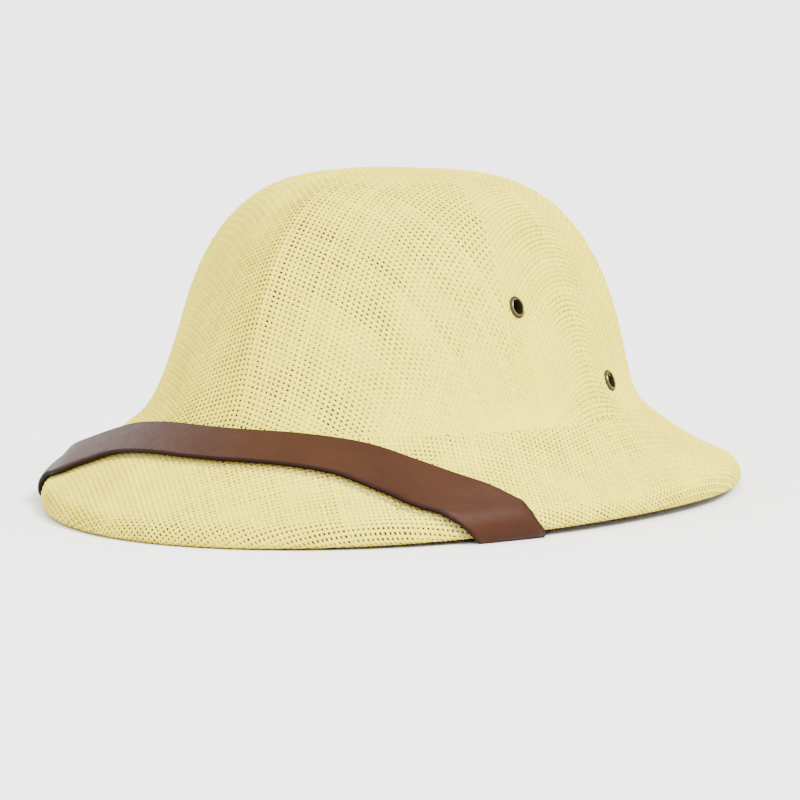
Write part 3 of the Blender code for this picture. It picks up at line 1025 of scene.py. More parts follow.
@dataclass(frozen=True)
class StrawFinish:
    """Glazed paper straws, each a little lighter or darker, with fine fibres and painted shade toward their
    edges.
    """

    name: str
    light: Colour
    dark: Colour
    # Toward each straw's edges this colour is painted shade between the straws; it also tints the fibres.
    edge: Colour
    # The same straw darker and browner: painted shade under the brim.
    underside_shade_light: Colour
    underside_shade_dark: Colour
    # Painted shade in the groove inside the lip, also on the flap's raw edge.
    groove: Colour
    # Painted shadow beside the strap's lower edge.
    strap_shadow: Colour
    # Strength and fall-off of the painted shade toward each straw's edges.
    side_shade_strength: float = 0.6
    side_shade_fall: float = 2.5
    fibre_strength: float = 0.18
    roughness: float = 0.38
    gloss: float = 0.05
    tone_numbers: float = 977.0
    patch_scale: float = 38.0
    fibre_scale: float = 900.0
    fibre_height: float = 0.00012

    def make(self) -> bpy.types.Material:
        """Make the material.

        Returns:
            The material.
        """
        bench = ShaderBench(self.name)
        across, turned, strip = (bench.attribute(name) for name in ("across", "turned", "strip"))
        inputs = {"W": strip * self.tone_numbers}
        tone = bench.wire("ShaderNodeTexWhiteNoise", {"noise_dimensions": "1D"}, inputs, "Value")
        patches = bench.noise(self.patch_scale, 3.0)
        fibres = bench.noise(self.fibre_scale)
        shade = (tone * 0.6 + patches * 0.7 - 0.15).within()
        # Share of the underside colour: painted shade under the brim.
        under = turned.within()
        # Colour toward the edges and of the fibres, going to the painted groove shade inside the lip.
        rim = bench.blend(under, self.edge, self.groove)
        outside = bench.blend(shade, self.light, self.dark)
        underside = bench.blend(shade, self.underside_shade_light, self.underside_shade_dark)
        straw = bench.blend(under, outside, underside)
        # Painted shade in the groove beside the lip, and on the flap's raw edge.
        straw = bench.blend((turned - 1.0).within(), straw, self.groove)
        straw = bench.blend(fibres * self.fibre_strength, straw, rim)
        # Painted shade toward each straw's edges, between the straws.
        side_shade = ((across - 0.5).size() * 2.0).power(self.side_shade_fall)
        straw = bench.blend(side_shade * self.side_shade_strength, straw, rim)
        return bench.surface(
            # Negative values paint the strap's shadow on the straw.
            Base_Color=bench.blend((turned * -1.0).within(), straw, self.strap_shadow),
            Roughness=fibres * 0.25 + self.roughness,
            Normal=bench.bump(fibres, self.fibre_height, 0.5),
            Specular_IOR_Level=self.gloss,
        )


@dataclass(frozen=True)
class GroundFinish:
    """Near-black ground between the straws as painted shade in the holes, and darker tan cloth where the piece
    is bare.
    """

    name: str
    light: Colour
    dark: Colour
    bare_light: Colour
    bare_dark: Colour
    pitch: float = 0.0020
    gloss: float = 0.2
    patch_scale: float = 60.0
    grain_scale: float = 1200.0
    thread_height: float = 0.0005

    def make(self) -> bpy.types.Material:
        """Make the material.

        Returns:
            The material.
        """
        bench = ShaderBench(self.name)
        patches = bench.noise(self.patch_scale, 3.0)
        grain = bench.noise(self.grain_scale, 1.0)
        # Near-black ground: painted shade seen through the holes of the weave.
        ground = bench.blend((patches * 0.7 + grain * 0.5 - 0.1).within(), self.light, self.dark)
        threads = bench.plain_weave(self.pitch)
        # Bare cloth darker where its weave sinks: painted shade between the threads.
        cloth = bench.blend((threads * 1.1 + patches * 0.4 - 0.3).within(), self.bare_dark, self.bare_light)
        bare = bench.attribute("bare")
        return bench.surface(
            Base_Color=bench.blend(bare, ground, cloth),
            Roughness=0.8 + grain * 0.15,
            Normal=bench.bump(threads * bare * 0.8 + grain * 0.2, self.thread_height),
            Specular_IOR_Level=self.gloss,
        )


@dataclass(frozen=True)
class FacingFinish:
    """Plain-woven tan cloth whose threads follow the cloth map, darker where the weave sinks as painted shade.
    """

    name: str
    light: Colour
    dark: Colour
    pitch: float = 0.0018
    gloss: float = 0.2
    patch_scale: float = 45.0
    fibre_scale: float = 1300.0
    thread_height: float = 0.0005

    def make(self) -> bpy.types.Material:
        """Make the material.

        Returns:
            The material.
        """
        bench = ShaderBench(self.name)
        patches = bench.noise(self.patch_scale, 3.0)
        fibres = bench.noise(self.fibre_scale)
        height = bench.plain_weave(self.pitch) * 0.8 + fibres * 0.2
        return bench.surface(
            # Darker where the weave sinks: painted shade between the threads.
            Base_Color=bench.blend((height * 1.25 + patches * 0.4 - 0.45).within(), self.dark, self.light),
            Roughness=0.85 - height * 0.15,
            Normal=bench.bump(height, self.thread_height, 0.9),
            Specular_IOR_Level=self.gloss,
        )


@dataclass(frozen=True)
class LeatherFinish:
    """Leather with fine pores, worn lighter in patches and stained dark along its cut edges."""

    name: str
    base: Colour
    worn: Colour
    dark: Colour
    roughness: float
    gloss: float
    edge_start: float = 0.86
    pore_scale: float = 2300.0
    crease_scale: float = 260.0
    patch_scale: float = 34.0
    grain_height: float = 0.00014

    def make(self) -> bpy.types.Material:
        """Make the material.

        Returns:
            The material.
        """
        bench = ShaderBench(self.name)
        _, across = bench.cloth()
        inputs = {"Vector": bench.where, "Scale": self.pore_scale}
        pores = bench.wire("ShaderNodeTexVoronoi", {"feature": "DISTANCE_TO_EDGE"}, inputs, "Distance")
        creases = bench.noise(self.crease_scale, 4.0, 0.6)
        patches = bench.noise(self.patch_scale, 3.0)
        colour = bench.blend((patches * 1.8 - 0.55).within(), self.base, self.worn)
        colour = bench.blend(creases * 0.30, colour, self.dark)
        edge = ((across.size() - self.edge_start) / (1.0 - self.edge_start)).within()
        height = (pores * 3.0).within() * 0.5 + creases * 0.8
        return bench.surface(
            Base_Color=bench.blend(edge * 0.9, colour, self.dark),
            Roughness=creases * 0.22 + (self.roughness - 0.10) + edge * 0.15,
            Normal=bench.bump(height, self.grain_height, 0.45),
            Specular_IOR_Level=self.gloss,
        )


@dataclass(frozen=True)
class BrassFinish:
    """Aged brass: bright where it is rubbed, brown in the hollows."""

    name: str
    bright: Colour
    aged: Colour
    stain_scale: float = 420.0
    scratch_scale: float = 3200.0
    scratch_depth: float = 0.00003

    def make(self) -> bpy.types.Material:
        """Make the material.

        Returns:
            The material.
        """
        bench = ShaderBench(self.name)
        stains = bench.noise(self.stain_scale, 4.0, 0.6)
        scratches = bench.noise(self.scratch_scale, 1.0)
        aged = (1.0 - bench.attribute("rubbed") * (1.5 - stains * 1.1)).within()
        return bench.surface(
            Base_Color=bench.blend(aged, self.bright, self.aged),
            Metallic=1.0 - aged * 0.25,
            Roughness=aged * 0.25 + scratches * 0.12 + 0.22,
            Normal=bench.bump(scratches, self.scratch_depth, 0.5),
        )


# Painted shade: the edge colour toward the straws' edges, the underside pair, the groove and the strap's
# shadow.
STRAW = StrawFinish(
    "glazed_straw",
    light=(0.84, 0.715, 0.017),
    dark=(0.62, 0.50, 0.012),
    edge=(0.38, 0.30, 0.09),
    underside_shade_light=(0.43, 0.25, 0.026),
    underside_shade_dark=(0.33, 0.178, 0.018),
    groove=(0.13, 0.060, 0.010),
    strap_shadow=(0.15, 0.115, 0.075),
)
# The near-black ground is painted shade seen through the weave's holes; the bare colours are a darker tan
# cloth.
HOLE_SHADE_GROUND = GroundFinish(
    "hole_shade_ground",
    light=(0.034, 0.026, 0.014),
    dark=(0.015, 0.011, 0.006),
    bare_light=(0.42, 0.25, 0.028),
    bare_dark=(0.28, 0.155, 0.018),
)
# Darker tan: partly the cloth's own colour, partly painted shade under the brim.
FACING = FacingFinish("facing_cloth", light=(0.40, 0.225, 0.024), dark=(0.15, 0.072, 0.009))
STRAP = LeatherFinish(
    "strap_leather",
    base=(0.031, 0.0105, 0.0042),
    worn=(0.044, 0.0160, 0.0068),
    dark=(0.006, 0.002, 0.002),
    roughness=0.38,
    gloss=0.065,
)
BAND = LeatherFinish(
    "band_leather",
    base=(0.012, 0.006, 0.006),
    worn=(0.022, 0.010, 0.009),
    dark=(0.005, 0.002, 0.002),
    roughness=0.55,
    gloss=0.10,
    edge_start=0.80,
)
BRASS = BrassFinish("aged_brass", bright=(0.17, 0.14, 0.06), aged=(0.032, 0.026, 0.008))


@dataclass(frozen=True)
class Finishes:
    """Every material of the hat."""

    straw: bpy.types.Material
    hole_shade_ground: bpy.types.Material
    facing: bpy.types.Material
    strap: bpy.types.Material
    band: bpy.types.Material
    brass: bpy.types.Material

    @classmethod
    def build(cls) -> Finishes:
        """Make every material once."""
        return cls(*(finish.make() for finish in (STRAW, HOLE_SHADE_GROUND, FACING, STRAP, BAND, BRASS)))


# ---- crown


@dataclass(frozen=True)
class Eyelet:
    """Place and sizes of one brass vent eyelet."""

    name: str
    angle: float
    height: float
    hole: float = 0.0031
    tube: float = 0.0004
    edge: float = 0.0045
    head: float = 0.0009
    washer: float = 0.0006
    washer_edge: float = 0.0042
    bevel: float = 0.0001
    sag: float = 0.0002
    steps: int = 48
    press: float = 0.00015
    rubbed: int = 6
    # Share of the way from the hole to the edge, share of the head's height.
    head_outline: tuple[tuple[float, float], ...] = (
        (0.00, 0.40), (0.02, 0.72), (0.07, 0.94), (0.14, 1.00), (0.21, 0.94),
        (0.27, 0.78), (0.34, 0.70), (0.50, 0.70), (0.70, 0.66), (0.86, 0.54),
    )

    def frame_at(self, form: HatForm, side: Side) -> Matrix:
        """Matrix whose +Z is the crown's outward direction, with its origin on the skin.

        Args:
            form: Sizes of the hat.
            side: Side that the eyelet is on.

        Returns:
            The matrix.
        """
        step = 0.002
        angle, height = np.array(self.angle), np.array(self.height)
        skin = form.skin_point
        around = skin(angle + step, height) - skin(angle - step, height)
        up = skin(angle, height + step / 10) - skin(angle, height - step / 10)
        normal = side.mirror(unit(np.cross(around, up)))
        spot = side.mirror(skin(angle, height) + np.array([form.gap / 2, 0.0, 0.0]))
        turn = Vector(normal).to_track_quat("Z", "Y").to_matrix().to_4x4()
        return Matrix.Translation(Vector(spot)) @ turn

    def outline(self, form: HatForm) -> list[tuple[float, float]]:
        """Closed outline of the eyelet.

        Args:
            form: Sizes of the hat.

        Returns:
            Radius and height above the skin of each point.
        """
        seat = -self.press
        under = -(form.crown_wall + form.gap + self.sag)
        below = under - self.washer
        broad = self.edge - self.hole
        roll = [(self.hole + share * broad, seat + rise * self.head) for share, rise in self.head_outline]
        rim = [(self.edge - self.bevel, seat + self.head * 0.30), (self.edge, seat + self.head * 0.15)]
        foot = [(self.edge - self.bevel, seat), (self.hole + self.tube, seat), (self.hole + self.tube, under)]
        washer = [(self.washer_edge, under), (self.washer_edge + self.bevel / 2, under - self.washer / 2)]
        return roll + rim + foot + washer + [(self.washer_edge - self.bevel, below), (self.hole, below)]

    def build(self, form: HatForm, side: Side, finish: bpy.types.Material) -> None:
        """Build the turned ring of the eyelet.

        Args:
            form: Sizes of the hat.
            side: Side that the eyelet is on.
            finish: Its material.
        """
        matrix = self.frame_at(form, side)
        outline = self.outline(form)
        points = [
            tuple(matrix @ Vector((radius * math.cos(turn), radius * math.sin(turn), height)))
            for radius, height in outline
            for turn in even_angles(self.steps)
        ]
        faces = grid_faces(len(outline), self.steps, True, True)
        piece = make_mesh(f"eyelet_ring_{self.name}_{side.label}", np.array(points), faces)
        number = np.arange(len(outline))
        rubbed = np.where((number > 0) & (number < self.rubbed), 1.0, 0.0)
        store_value(piece, "rubbed", np.repeat(rubbed, self.steps))
        dress(piece, finish, "aged_brass")
        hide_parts(f"eyelet_{self.name}_{side.label}")


@dataclass
class CrownHalf:
    """One half of the crown: a shell of dark ground, painted shade in the holes, with straw cloth woven over
    it.
    """

    form: HatForm
    weave: StrawWeave
    side: Side
    seed: int
    eyelets: tuple[Eyelet, ...]
    seam_dip: float = 0.00025
    seam_reach: float = 0.0012
    seam_space: float = 0.0010
    edge_space: float = 0.0006
    count_space: float = 0.0009
    loose_at: float = 0.0045
    loose_reach: float = 0.0060
    loosening: float = 0.12
    closing: float = 0.045
    closing_from: float = 0.030
    closing_reach: float = 0.040
    least_wall: float = 0.0006
    top_place: tuple[float, float] = (0.15, 0.157)
    columns: int = 121
    rows: int = 44
    ray_steps: int = 900
    ray_reach: float = 0.2
    halvings: int = 44
    longest_side: float = 0.3

    def dip(self, across: np.ndarray) -> np.ndarray:
        """How far the cloth turns in beside the centre seam."""
        return self.seam_dip * np.exp(-((across / self.seam_reach) ** 2))

    def settle(self, points: np.ndarray) -> np.ndarray:
        """Points of the left half, set off from the seam and brought to this side."""
        return self.side.mirror(points + np.array([self.form.gap / 2, 0.0, 0.0]))

    def sections(self, offsets: np.ndarray) -> tuple[np.ndarray, np.ndarray]:
        """Lines over the crown in upright planes at distances from the centre.

        Args:
            offsets: Distances of the planes from the centre plane.

        Returns:
            Points, planes by steps by three, from the front edge to the back edge, and their outward
            directions.
        """
        form = self.form
        turn = np.linspace(0.0, math.pi, self.ray_steps + 1)
        across = offsets[:, None] * np.ones_like(turn)
        low, high = np.zeros_like(across), np.full_like(across, self.ray_reach)
        for _ in range(self.halvings):
            middle = (low + high) / 2
            ahead, height = -middle * np.cos(turn), middle * np.sin(turn)
            angle = np.arctan2(across, -ahead)
            inside = (height < form.crown_height) & (np.hypot(across, ahead) < form.smooth_reach(angle, height))
            low, high = np.where(inside, middle, low), np.where(inside, high, middle)
        ahead, height = -low * np.cos(turn), low * np.sin(turn)
        angle = np.arctan2(across, -ahead)
        reach = np.hypot(across, ahead) * form.ridge(angle, height)
        points = form.crown_point(angle, reach, height)
        normals = unit(np.cross(np.gradient(points, axis=0), np.gradient(points, axis=1)))
        return points, normals * np.sign(normals[:, self.ray_steps // 2, 2])[:, None, None]

    def cloth_offsets(self, spacings: np.ndarray) -> np.ndarray:
        """Distances from the centre plane of lines in the cloth.

        Args:
            spacings: Lengths of cloth from the centre seam down the side.

        Returns:
            One distance for each length.
        """
        form = self.form
        turn = np.linspace(0.0, math.pi / 2, 2000)
        height = form.crown_height * np.sin(turn) ** (2 / form.side_fullness[1])
        across = form.smooth_reach(np.array(math.pi / 2), height)
        travel = travelled(np.stack([across[::-1], height[::-1]], -1))
        return np.where(spacings < 0, spacings, np.interp(spacings, travel, across[::-1]))

    def side_length(self) -> float:
        """Length of cloth from the centre seam down the side to the crown's edge."""
        spacings = np.linspace(0.0, self.longest_side, 3001)
        return spacings[np.argmax(self.cloth_offsets(spacings) >= self.cloth_offsets(spacings)[-1] - 1e-7)]

    def height_at(self, angles: np.ndarray, inward: float) -> np.ndarray:
        """Height where the crown has drawn in to a share of its width."""
        rise = np.sqrt(np.maximum(1.0 - inward ** self.form.fullness(angles, 0), 0.0))
        return self.form.crown_height * rise ** (2 / self.form.fullness(angles, 1))

    def skin_at(self, angles: np.ndarray, inward: float) -> np.ndarray:
        """Points where the crown has drawn in to a share of its width."""
        return self.form.skin_point(angles, self.height_at(angles, inward))

    def shell_points(self, angles: np.ndarray, turns: np.ndarray) -> np.ndarray:
        """Points of the shell, its outer face before its inner face, each with its top last.

        Args:
            angles: Angles of its columns.
            turns: How far up each row is, from 0 at the edge to a quarter turn at the top.

        Returns:
            The points.
        """
        wall = self.form.crown_wall
        outer, inner = [], []
        step = 0.002
        for turn in turns[:-1]:
            inward = math.cos(turn)
            higher, lower = math.cos(min(turn + step, math.pi / 2 - step)), math.cos(max(turn - step, 0.0))
            around = self.skin_at(angles + step, inward) - self.skin_at(angles - step, inward)
            normal = unit(np.cross(around, self.skin_at(angles, higher) - self.skin_at(angles, lower)))
            normal[[0, -1], 0] = 0.0
            normal = unit(normal)
            skin = self.skin_at(angles, inward)
            sink = self.weave.ground + self.dip(skin[:, 0])
            outer.append(skin - normal * sink[:, None])
            inner.append(skin - normal * np.maximum(wall, sink + self.least_wall)[:, None])
        top = self.form.crown_point(np.array(0.0), np.array(0.0), np.array(self.form.crown_height))
        down = np.array([0.0, 0.0, 1.0])
        sink = self.weave.ground + self.seam_dip
        points = np.vstack([*outer, top - down * sink, *inner, top - down * max(wall, sink + self.least_wall)])
        points[:, 0] = np.maximum(points[:, 0], 0.0)
        return points

    def shell_faces(self, rows: int, columns: int) -> list[tuple[int, ...]]:
        """Faces of the shell, closed at its edge and its seam.

        Args:
            rows: Rows of points under the top.
            columns: Points in a row.

        Returns:
            Point numbers of each face.
        """
        shell = rows * columns + 1
        faces = grid_faces(rows, columns, False, False) + grid_faces(rows, columns, False, False, shell)
        for offset in (0, shell):
            last = offset + (rows - 1) * columns
            faces += [(last + j, last + j + 1, offset + shell - 1) for j in range(columns - 1)]
        for j in (0, columns - 1):
            seam = [row * columns + j for row in range(rows)] + [shell - 1]
            faces += [(a, b, b + shell, a + shell) for a, b in zip(seam, seam[1:])]
        return faces + [(j, j + 1, j + 1 + shell, j + shell) for j in range(columns - 1)]

    def build_shell(self, finish: bpy.types.Material) -> None:
        """Build the shell under the threads.

        Args:
            finish: Its material.
        """
        angles = np.linspace(0.0, math.pi, self.columns)
        turns = np.linspace(0.0, math.pi / 2, self.rows)
        rows, columns = self.rows - 1, self.columns
        points = self.settle(self.shell_points(angles, turns))
        piece = make_mesh(f"crown_shell_{self.side.label}", points, self.shell_faces(rows, columns))
        places = np.stack([np.tile(angles, rows), np.repeat(turns[:-1], columns)], -1) * MAP_REACH
        store_map(piece, np.vstack([places, self.top_place, places, self.top_place]))
        store_value(piece, "bare", np.repeat([0.0, 1.0], rows * columns + 1))
        self.cut_holes(piece)
        dress(piece, finish, "straw_cloth")
        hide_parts(f"crown_{self.side.label}")

    def cut_holes(self, piece: bpy.types.Object) -> None:
        """Cut the eyelets' holes through the shell.

        Args:
            piece: The shell.
        """
        for eyelet in self.eyelets:
            mesh = bpy.data.meshes.new("eyelet_cutter")
            body = bmesh.new()
            radius = eyelet.hole + eyelet.tube + self.form.gap
            sizes = {"segments": 32, "radius1": radius, "radius2": radius, "depth": 4 * self.form.crown_wall}
            matrix = eyelet.frame_at(self.form, self.side)
            bmesh.ops.create_cone(body, cap_ends=True, matrix=matrix, **sizes)
            body.to_mesh(mesh)
            body.free()
            cutter = add_object("eyelet_cutter", mesh)
            cut = piece.modifiers.new("eyelet_hole", "BOOLEAN")
            cut.operation = "DIFFERENCE"
            cut.solver = "EXACT"
            cut.object = cutter
            old, made = piece.data, applied(piece)
            piece.modifiers.remove(cut)
            piece.data = made
            bpy.data.meshes.remove(old)
            bpy.data.objects.remove(cutter, do_unlink=True)
            bpy.data.meshes.remove(mesh)

    def thread_paths(self) -> ThreadPaths:
        """Lay the threads over the top and those that cross them.

        Returns:
            The threads' lines.
        """
        rng = np.random.default_rng(self.seed)
        half = self.weave.pitch / 2
        total = self.side_length()
        spacings = self.seam_space + half * np.arange(int((total - self.count_space) / half))
        spacings[0::2] += rng.normal(0.0, WANDER, len(spacings[0::2]))
        spacings = np.append(-self.form.gap / 3, spacings)
        offsets = self.cloth_offsets(spacings[spacings < total - self.edge_space])
        points, normals = self.sections(offsets)
        points = points - normals * (self.weave.depth + self.dip(offsets))[:, None, None]
        travel = np.array([running_total(steps) for steps in np.linalg.norm(np.diff(points, axis=1), axis=-1)])
        travel -= travel[:, self.ray_steps // 2, None]
        reach = int(np.abs(travel).max() / half) + 2
        number = np.arange(-reach, reach + 1)
        along = half * number
        wanders = rng.normal(0.0, WANDER, len(along))
        along[reach % 2 :: 2] += wanders[reach % 2 :: 2]
        grid, outs = (
            np.array([
                np.stack([np.interp(along, way, row[:, axis]) for axis in range(3)], -1)
                for way, row in zip(travel, table)
            ])
            for table in (points, normals)
        )
        valid = (along[None] > travel[:, :1]) & (along[None] < travel[:, -1:])
        line_number = np.arange(len(offsets))
        sign = np.where((number[None] // 2 + line_number[:, None] // 2) % 2 == 0, 1.0, -1.0)
        paths = ThreadPaths()
        for k in line_number[1::2]:
            line = np.flatnonzero(valid[k])
            waves = np.where(number % 2 == 0, sign[k], 0.0)[line]
            ring = np.vstack([points[k, 0], grid[k, line], points[k, -1]])
            out = np.vstack([normals[k, 0], outs[k, line], normals[k, -1]])
            if len(ring) > 3:
                ring[0] += self.overrun(ring[0] - ring[2])
                ring[-1] += self.overrun(ring[-1] - ring[-3])
            self.add_clear(paths, ring, out, np.concatenate([[0.0], waves, [0.0]]))
        for j in np.flatnonzero(number % 2 == 0):
            line = np.flatnonzero(valid[:, j])
            if len(line) < 2:
                continue
            waves = np.where(line_number % 2 == 1, -sign[:, j], 0.0)[line]
            ring, out = grid[line, j], outs[line, j]
            if line[-1] + 1 < len(offsets):
                end = 0 if along[j] < 0 else -1
                last, last_out = points[line[-1] + 1, end], normals[line[-1] + 1, end]
            else:
                last, last_out = self.edge_under(ring[-1], out[-1]), out[-1]
            last = last + self.overrun(last - ring[-2])
            self.add_clear(paths, np.vstack([ring, last]), np.vstack([out, last_out]), np.append(waves, 0.0))
        return paths

    def overrun(self, way: np.ndarray) -> np.ndarray:
        """Short step on past the crown's edge, over the gap to the brim."""
        return way / max(float(np.linalg.norm(way)), 1e-9) * self.form.gap * 1.2

    def edge_under(self, point: np.ndarray, out: np.ndarray) -> np.ndarray:
        """Point of the cloth at the crown's edge, below a point with its outward direction."""
        angle = np.array(math.atan2(point[0], self.form.crown_y - point[1]))
        return self.form.skin_point(angle, np.array(0.0)) - out * self.weave.depth

    def fullness_at(self, points: np.ndarray) -> np.ndarray:
        """Shares of the straws' whole width, which is least beside the centre seam.

        Args:
            points: Points of the straws.

        Returns:
            One share for each point.
        """
        across = np.abs(points[:, 0])
        from_loose = (across - self.loose_at) / self.loose_reach
        closing = self.closing * np.clip((across - self.closing_from) / self.closing_reach, 0.0, 1.0)
        return 1.0 - self.loosening * np.exp(-(from_loose**2)) + closing

    def add_clear(self, paths: ThreadPaths, points: np.ndarray, outs: np.ndarray, waves: np.ndarray) -> None:
        """Add a thread, left out where the eyelets pass through the cloth.

        Args:
            paths: Lines that the thread is added to.
            points: Points of its line on the left half.
            outs: Directions out of the cloth there.
            waves: Where it passes over or under.
        """
        points, outs = self.settle(points), self.side.mirror(outs)
        clear = np.ones(len(points), bool)
        for eyelet in self.eyelets:
            spot = np.array(eyelet.frame_at(self.form, self.side).translation)
            clear &= np.linalg.norm(points - spot, axis=1) > eyelet.hole + eyelet.tube / 2
        paths.add_runs((points, outs, waves, self.fullness_at(points), np.zeros(len(points))), clear)

    def build(self, tree: WeavingTree, finishes: Finishes) -> None:
        """Shell, threads and eyelets of this half.

        Args:
            tree: The weaving tree.
            finishes: The hat's materials.
        """
        self.build_shell(finishes.hole_shade_ground)
        name = f"crown_weave_{self.side.label}"
        self.weave.weave(tree, self.thread_paths(), name, finishes.straw, self.seed)
        for eyelet in self.eyelets:
            eyelet.build(self.form, self.side, finishes.brass)


# ---- brim


@dataclass
class Brim:
    """Brim of straw cloth with its rolled lip, the flap turned in under it and the facing cloth."""

    form: HatForm
    weave: StrawWeave
    flap_weave: StrawWeave
    steps: int = 720
    ring_steps: int = 240
    turn_from: float = 0.905
    # The groove values paint shade inside the lip; the mark reach is how far the strap's painted shadow
    # spreads.
    groove: float = 1.7
    groove_reach: float = 0.32
    strap_shadow_reach: float = 0.0012
    raw_edge_full: float = 0.34
    raw_edge_wander: float = 0.012
    cloth_reach: float = 0.36
    plan_reach: float = 0.25
    share_length: float = 0.08
    search_reach: float = 0.5
    halvings: int = 30
    loosening_share: float = 0.1
    least_step: float = 0.00025
    largest_step: float = 0.006
    over_seed: int = 11
    flap_seed: int = 13
    width_seed: int = 21
    # Spots beside the strap's lower edge where its shadow is painted on the straw.
    pressed: np.ndarray = field(default_factory=lambda: np.empty((0, 3)))
    sections: list[BrimSection] = field(init=False)
    skin: SkinTable = field(init=False)
    flap: SkinTable = field(init=False)

    def __post_init__(self) -> None:
        """Lay out the sections and the two skins that carry threads."""
        self.sections = [BrimSection(self.form, float(angle)) for angle in even_angles(self.steps)]
        lines = [section.skin() for section in self.sections]
        steps = [np.hypot(*np.diff(line, axis=0).T) for line in lines]
        for step, line in zip(steps, lines):
            step[: SKIN_STEPS - 1] = np.diff(line[:SKIN_STEPS, 0])
        self.skin = SkinTable(self.sections, lines, [running_total(step) for step in steps])
        lines = [self.flap_line(section) for section in self.sections]
        self.flap = SkinTable(self.sections, lines, [travelled(line) for line in lines])

    def flap_line(self, section: BrimSection) -> np.ndarray:
        """Underside of the flap from the lip's inner side up and in to its raw edge.

        Args:
            section: Section of the brim.

        Returns:
            Runs and levels of the points.
        """
        form = self.form
        runs = np.linspace(section.run - form.lip_thickness, section.run - form.flap_width, 14)
        under = section.under(runs, form.brim_cloth + form.flap_cloth)
        start = section.lip(5)[-1]
        rise = np.linspace(0.0, 1.0, 6)[:-1, None]
        return np.vstack([start + (under[0] - start) * rise, under])

    def ring_sections(self) -> list[BrimSection]:
        """Sections that the solid rings are built from."""
        return self.sections[:: self.steps // self.ring_steps]

    def loop(self, section: BrimSection) -> tuple[np.ndarray, np.ndarray]:
        """Closed section of the ground under the threads.

        Args:
            section: Section of the brim.

        Returns:
            Its points, and 1 for each point where the ground is bare of threads, else 0.
        """
        form = self.form
        angle = np.array(section.angle)
        wall = form.crown_wall + form.gap
        heights = np.linspace(form.neck_height, 0.0, 5)
        neck = [form.inside_crown(angle, h, wall) for h in heights[:-1]]
        rebate = section.place((section.slope_start - section.edge_out * wall)[None])
        top = section.place(sunk(section.skin(17), self.weave.ground))
        flap = section.place(sunk(self.flap_line(section), self.flap_weave.ground)[2:])
        runs = np.linspace(section.run - form.flap_width, section.cloth_start(), 9)
        under = section.place(section.under(runs, form.brim_cloth))
        inner = [form.inside_crown(angle, h, wall + form.brim_cloth) for h in heights[::-1][1:]]
        points = np.vstack([neck, rebate, top, flap, under, inner])
        covered = len(neck) + 1
        bare = np.ones(len(points))
        bare[covered : covered + len(top) + len(flap) - 1] = 0.0
        return points, bare

    def build_shell(self, finish: bpy.types.Material) -> None:
        """Build the ring of ground under the threads.

        Args:
            finish: Its material.
        """
        loops, bares = zip(*(self.loop(section) for section in self.ring_sections()))
        piece = ring_solid("brim_shell", loops, slanted(np.vstack(loops)))
        store_value(piece, "bare", np.concatenate(bares))
        dress(piece, finish, "straw_cloth")
        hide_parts("brim")

    def find_angle(self, plan: np.ndarray) -> tuple[np.ndarray, np.ndarray]:
        """Find where points of the flat cloth lie on the brim.

        Args:
            plan: Plan points of the flat cloth.

        Returns:
            Angle round the brim and distance out from the crown's edge of each point.
        """
        steps = np.arange(-self.steps, 2 * self.steps + 1) * FULL_TURN / self.steps
        bases = np.array([section.base[:2] for section in self.sections])
        outs = np.array([section.outward for section in self.sections])
        bases, outs = (np.vstack([table, table, table, table[:1]]) for table in (bases, outs))

        def read(table: np.ndarray, angle: np.ndarray) -> np.ndarray:
            """Rows of a table at angles."""
            return np.stack([np.interp(angle, steps, table[:, k]) for k in (0, 1)], -1)

        middle = np.mod(np.arctan2(plan[:, 0], -(plan[:, 1] - self.form.crown_y)), FULL_TURN)
        low, high = middle - self.search_reach, middle + self.search_reach
        for _ in range(self.halvings):
            angle = (low + high) / 2
            away, out = plan - read(bases, angle), read(outs, angle)
            further = out[:, 0] * away[:, 1] - out[:, 1] * away[:, 0] > 0
            low, high = np.where(further, angle, low), np.where(further, high, angle)
        angle = (low + high) / 2
        return angle, ((plan - read(bases, angle)) * read(outs, angle)).sum(-1)

    def slanted_paths(
        self, table: SkinTable, cloth: StrawWeave, find: Callable, turn: Callable, families: tuple, seed: int
    ) -> ThreadPaths:
        """Threads at a slant of 45 degrees to the hat's centre line.

        Args:
            table: Skin that the threads lie on.
            cloth: Sizes of the cloth.
            find: Function from plan points of the flat cloth to angles and shares along the skin.
            turn: Function from shares along the skin to how far the cloth has turned under.
            families: Which of the two directions of threads to lay.
            seed: Fixed seed of the threads' places.

        Returns:
            The threads' lines.
        """
        rng = np.random.default_rng(seed)
        half = cloth.pitch / 2
        reach = int(self.cloth_reach / half)
        number = np.arange(-reach, reach + 1)
        even = number % 2 == 0
        shifts = [half * number + np.where(even, rng.normal(0.0, WANDER, len(number)), 0.0) for _ in (0, 1)]
        step = half / self.share_length
        paths = ThreadPaths()
        for family in families:
            for k in np.flatnonzero(even):
                lines = [shifts[0][k], shifts[1]] if family == 0 else [shifts[0], shifts[1][k]]
                a, b = np.broadcast_arrays(*lines)
                plan = np.stack([(a - b), (a + b)], -1) / math.sqrt(2.0)
                plan[:, 1] += self.form.crown_y
                near = np.hypot(plan[:, 0], plan[:, 1] - self.form.crown_y) < self.plan_reach
                if near.sum() < 2:
                    continue
                angle, share = find(plan)
                valid = near & (share > -step) & (share < 1.0 + step)
                sign = np.where(((number[k] // 2 + number // 2) % 2 == 0) == (family == 0), 1.0, -1.0)
                waves = np.where(even, sign, 0.0)
                points, outs = table.at(angle, np.clip(share, 0.0, 1.0))
                points = points - outs * cloth.depth
                loose = np.clip((share - cloth.loose_from) / self.loosening_share, 0.0, 1.0)
                fulls = 1.0 - cloth.loosening * loose
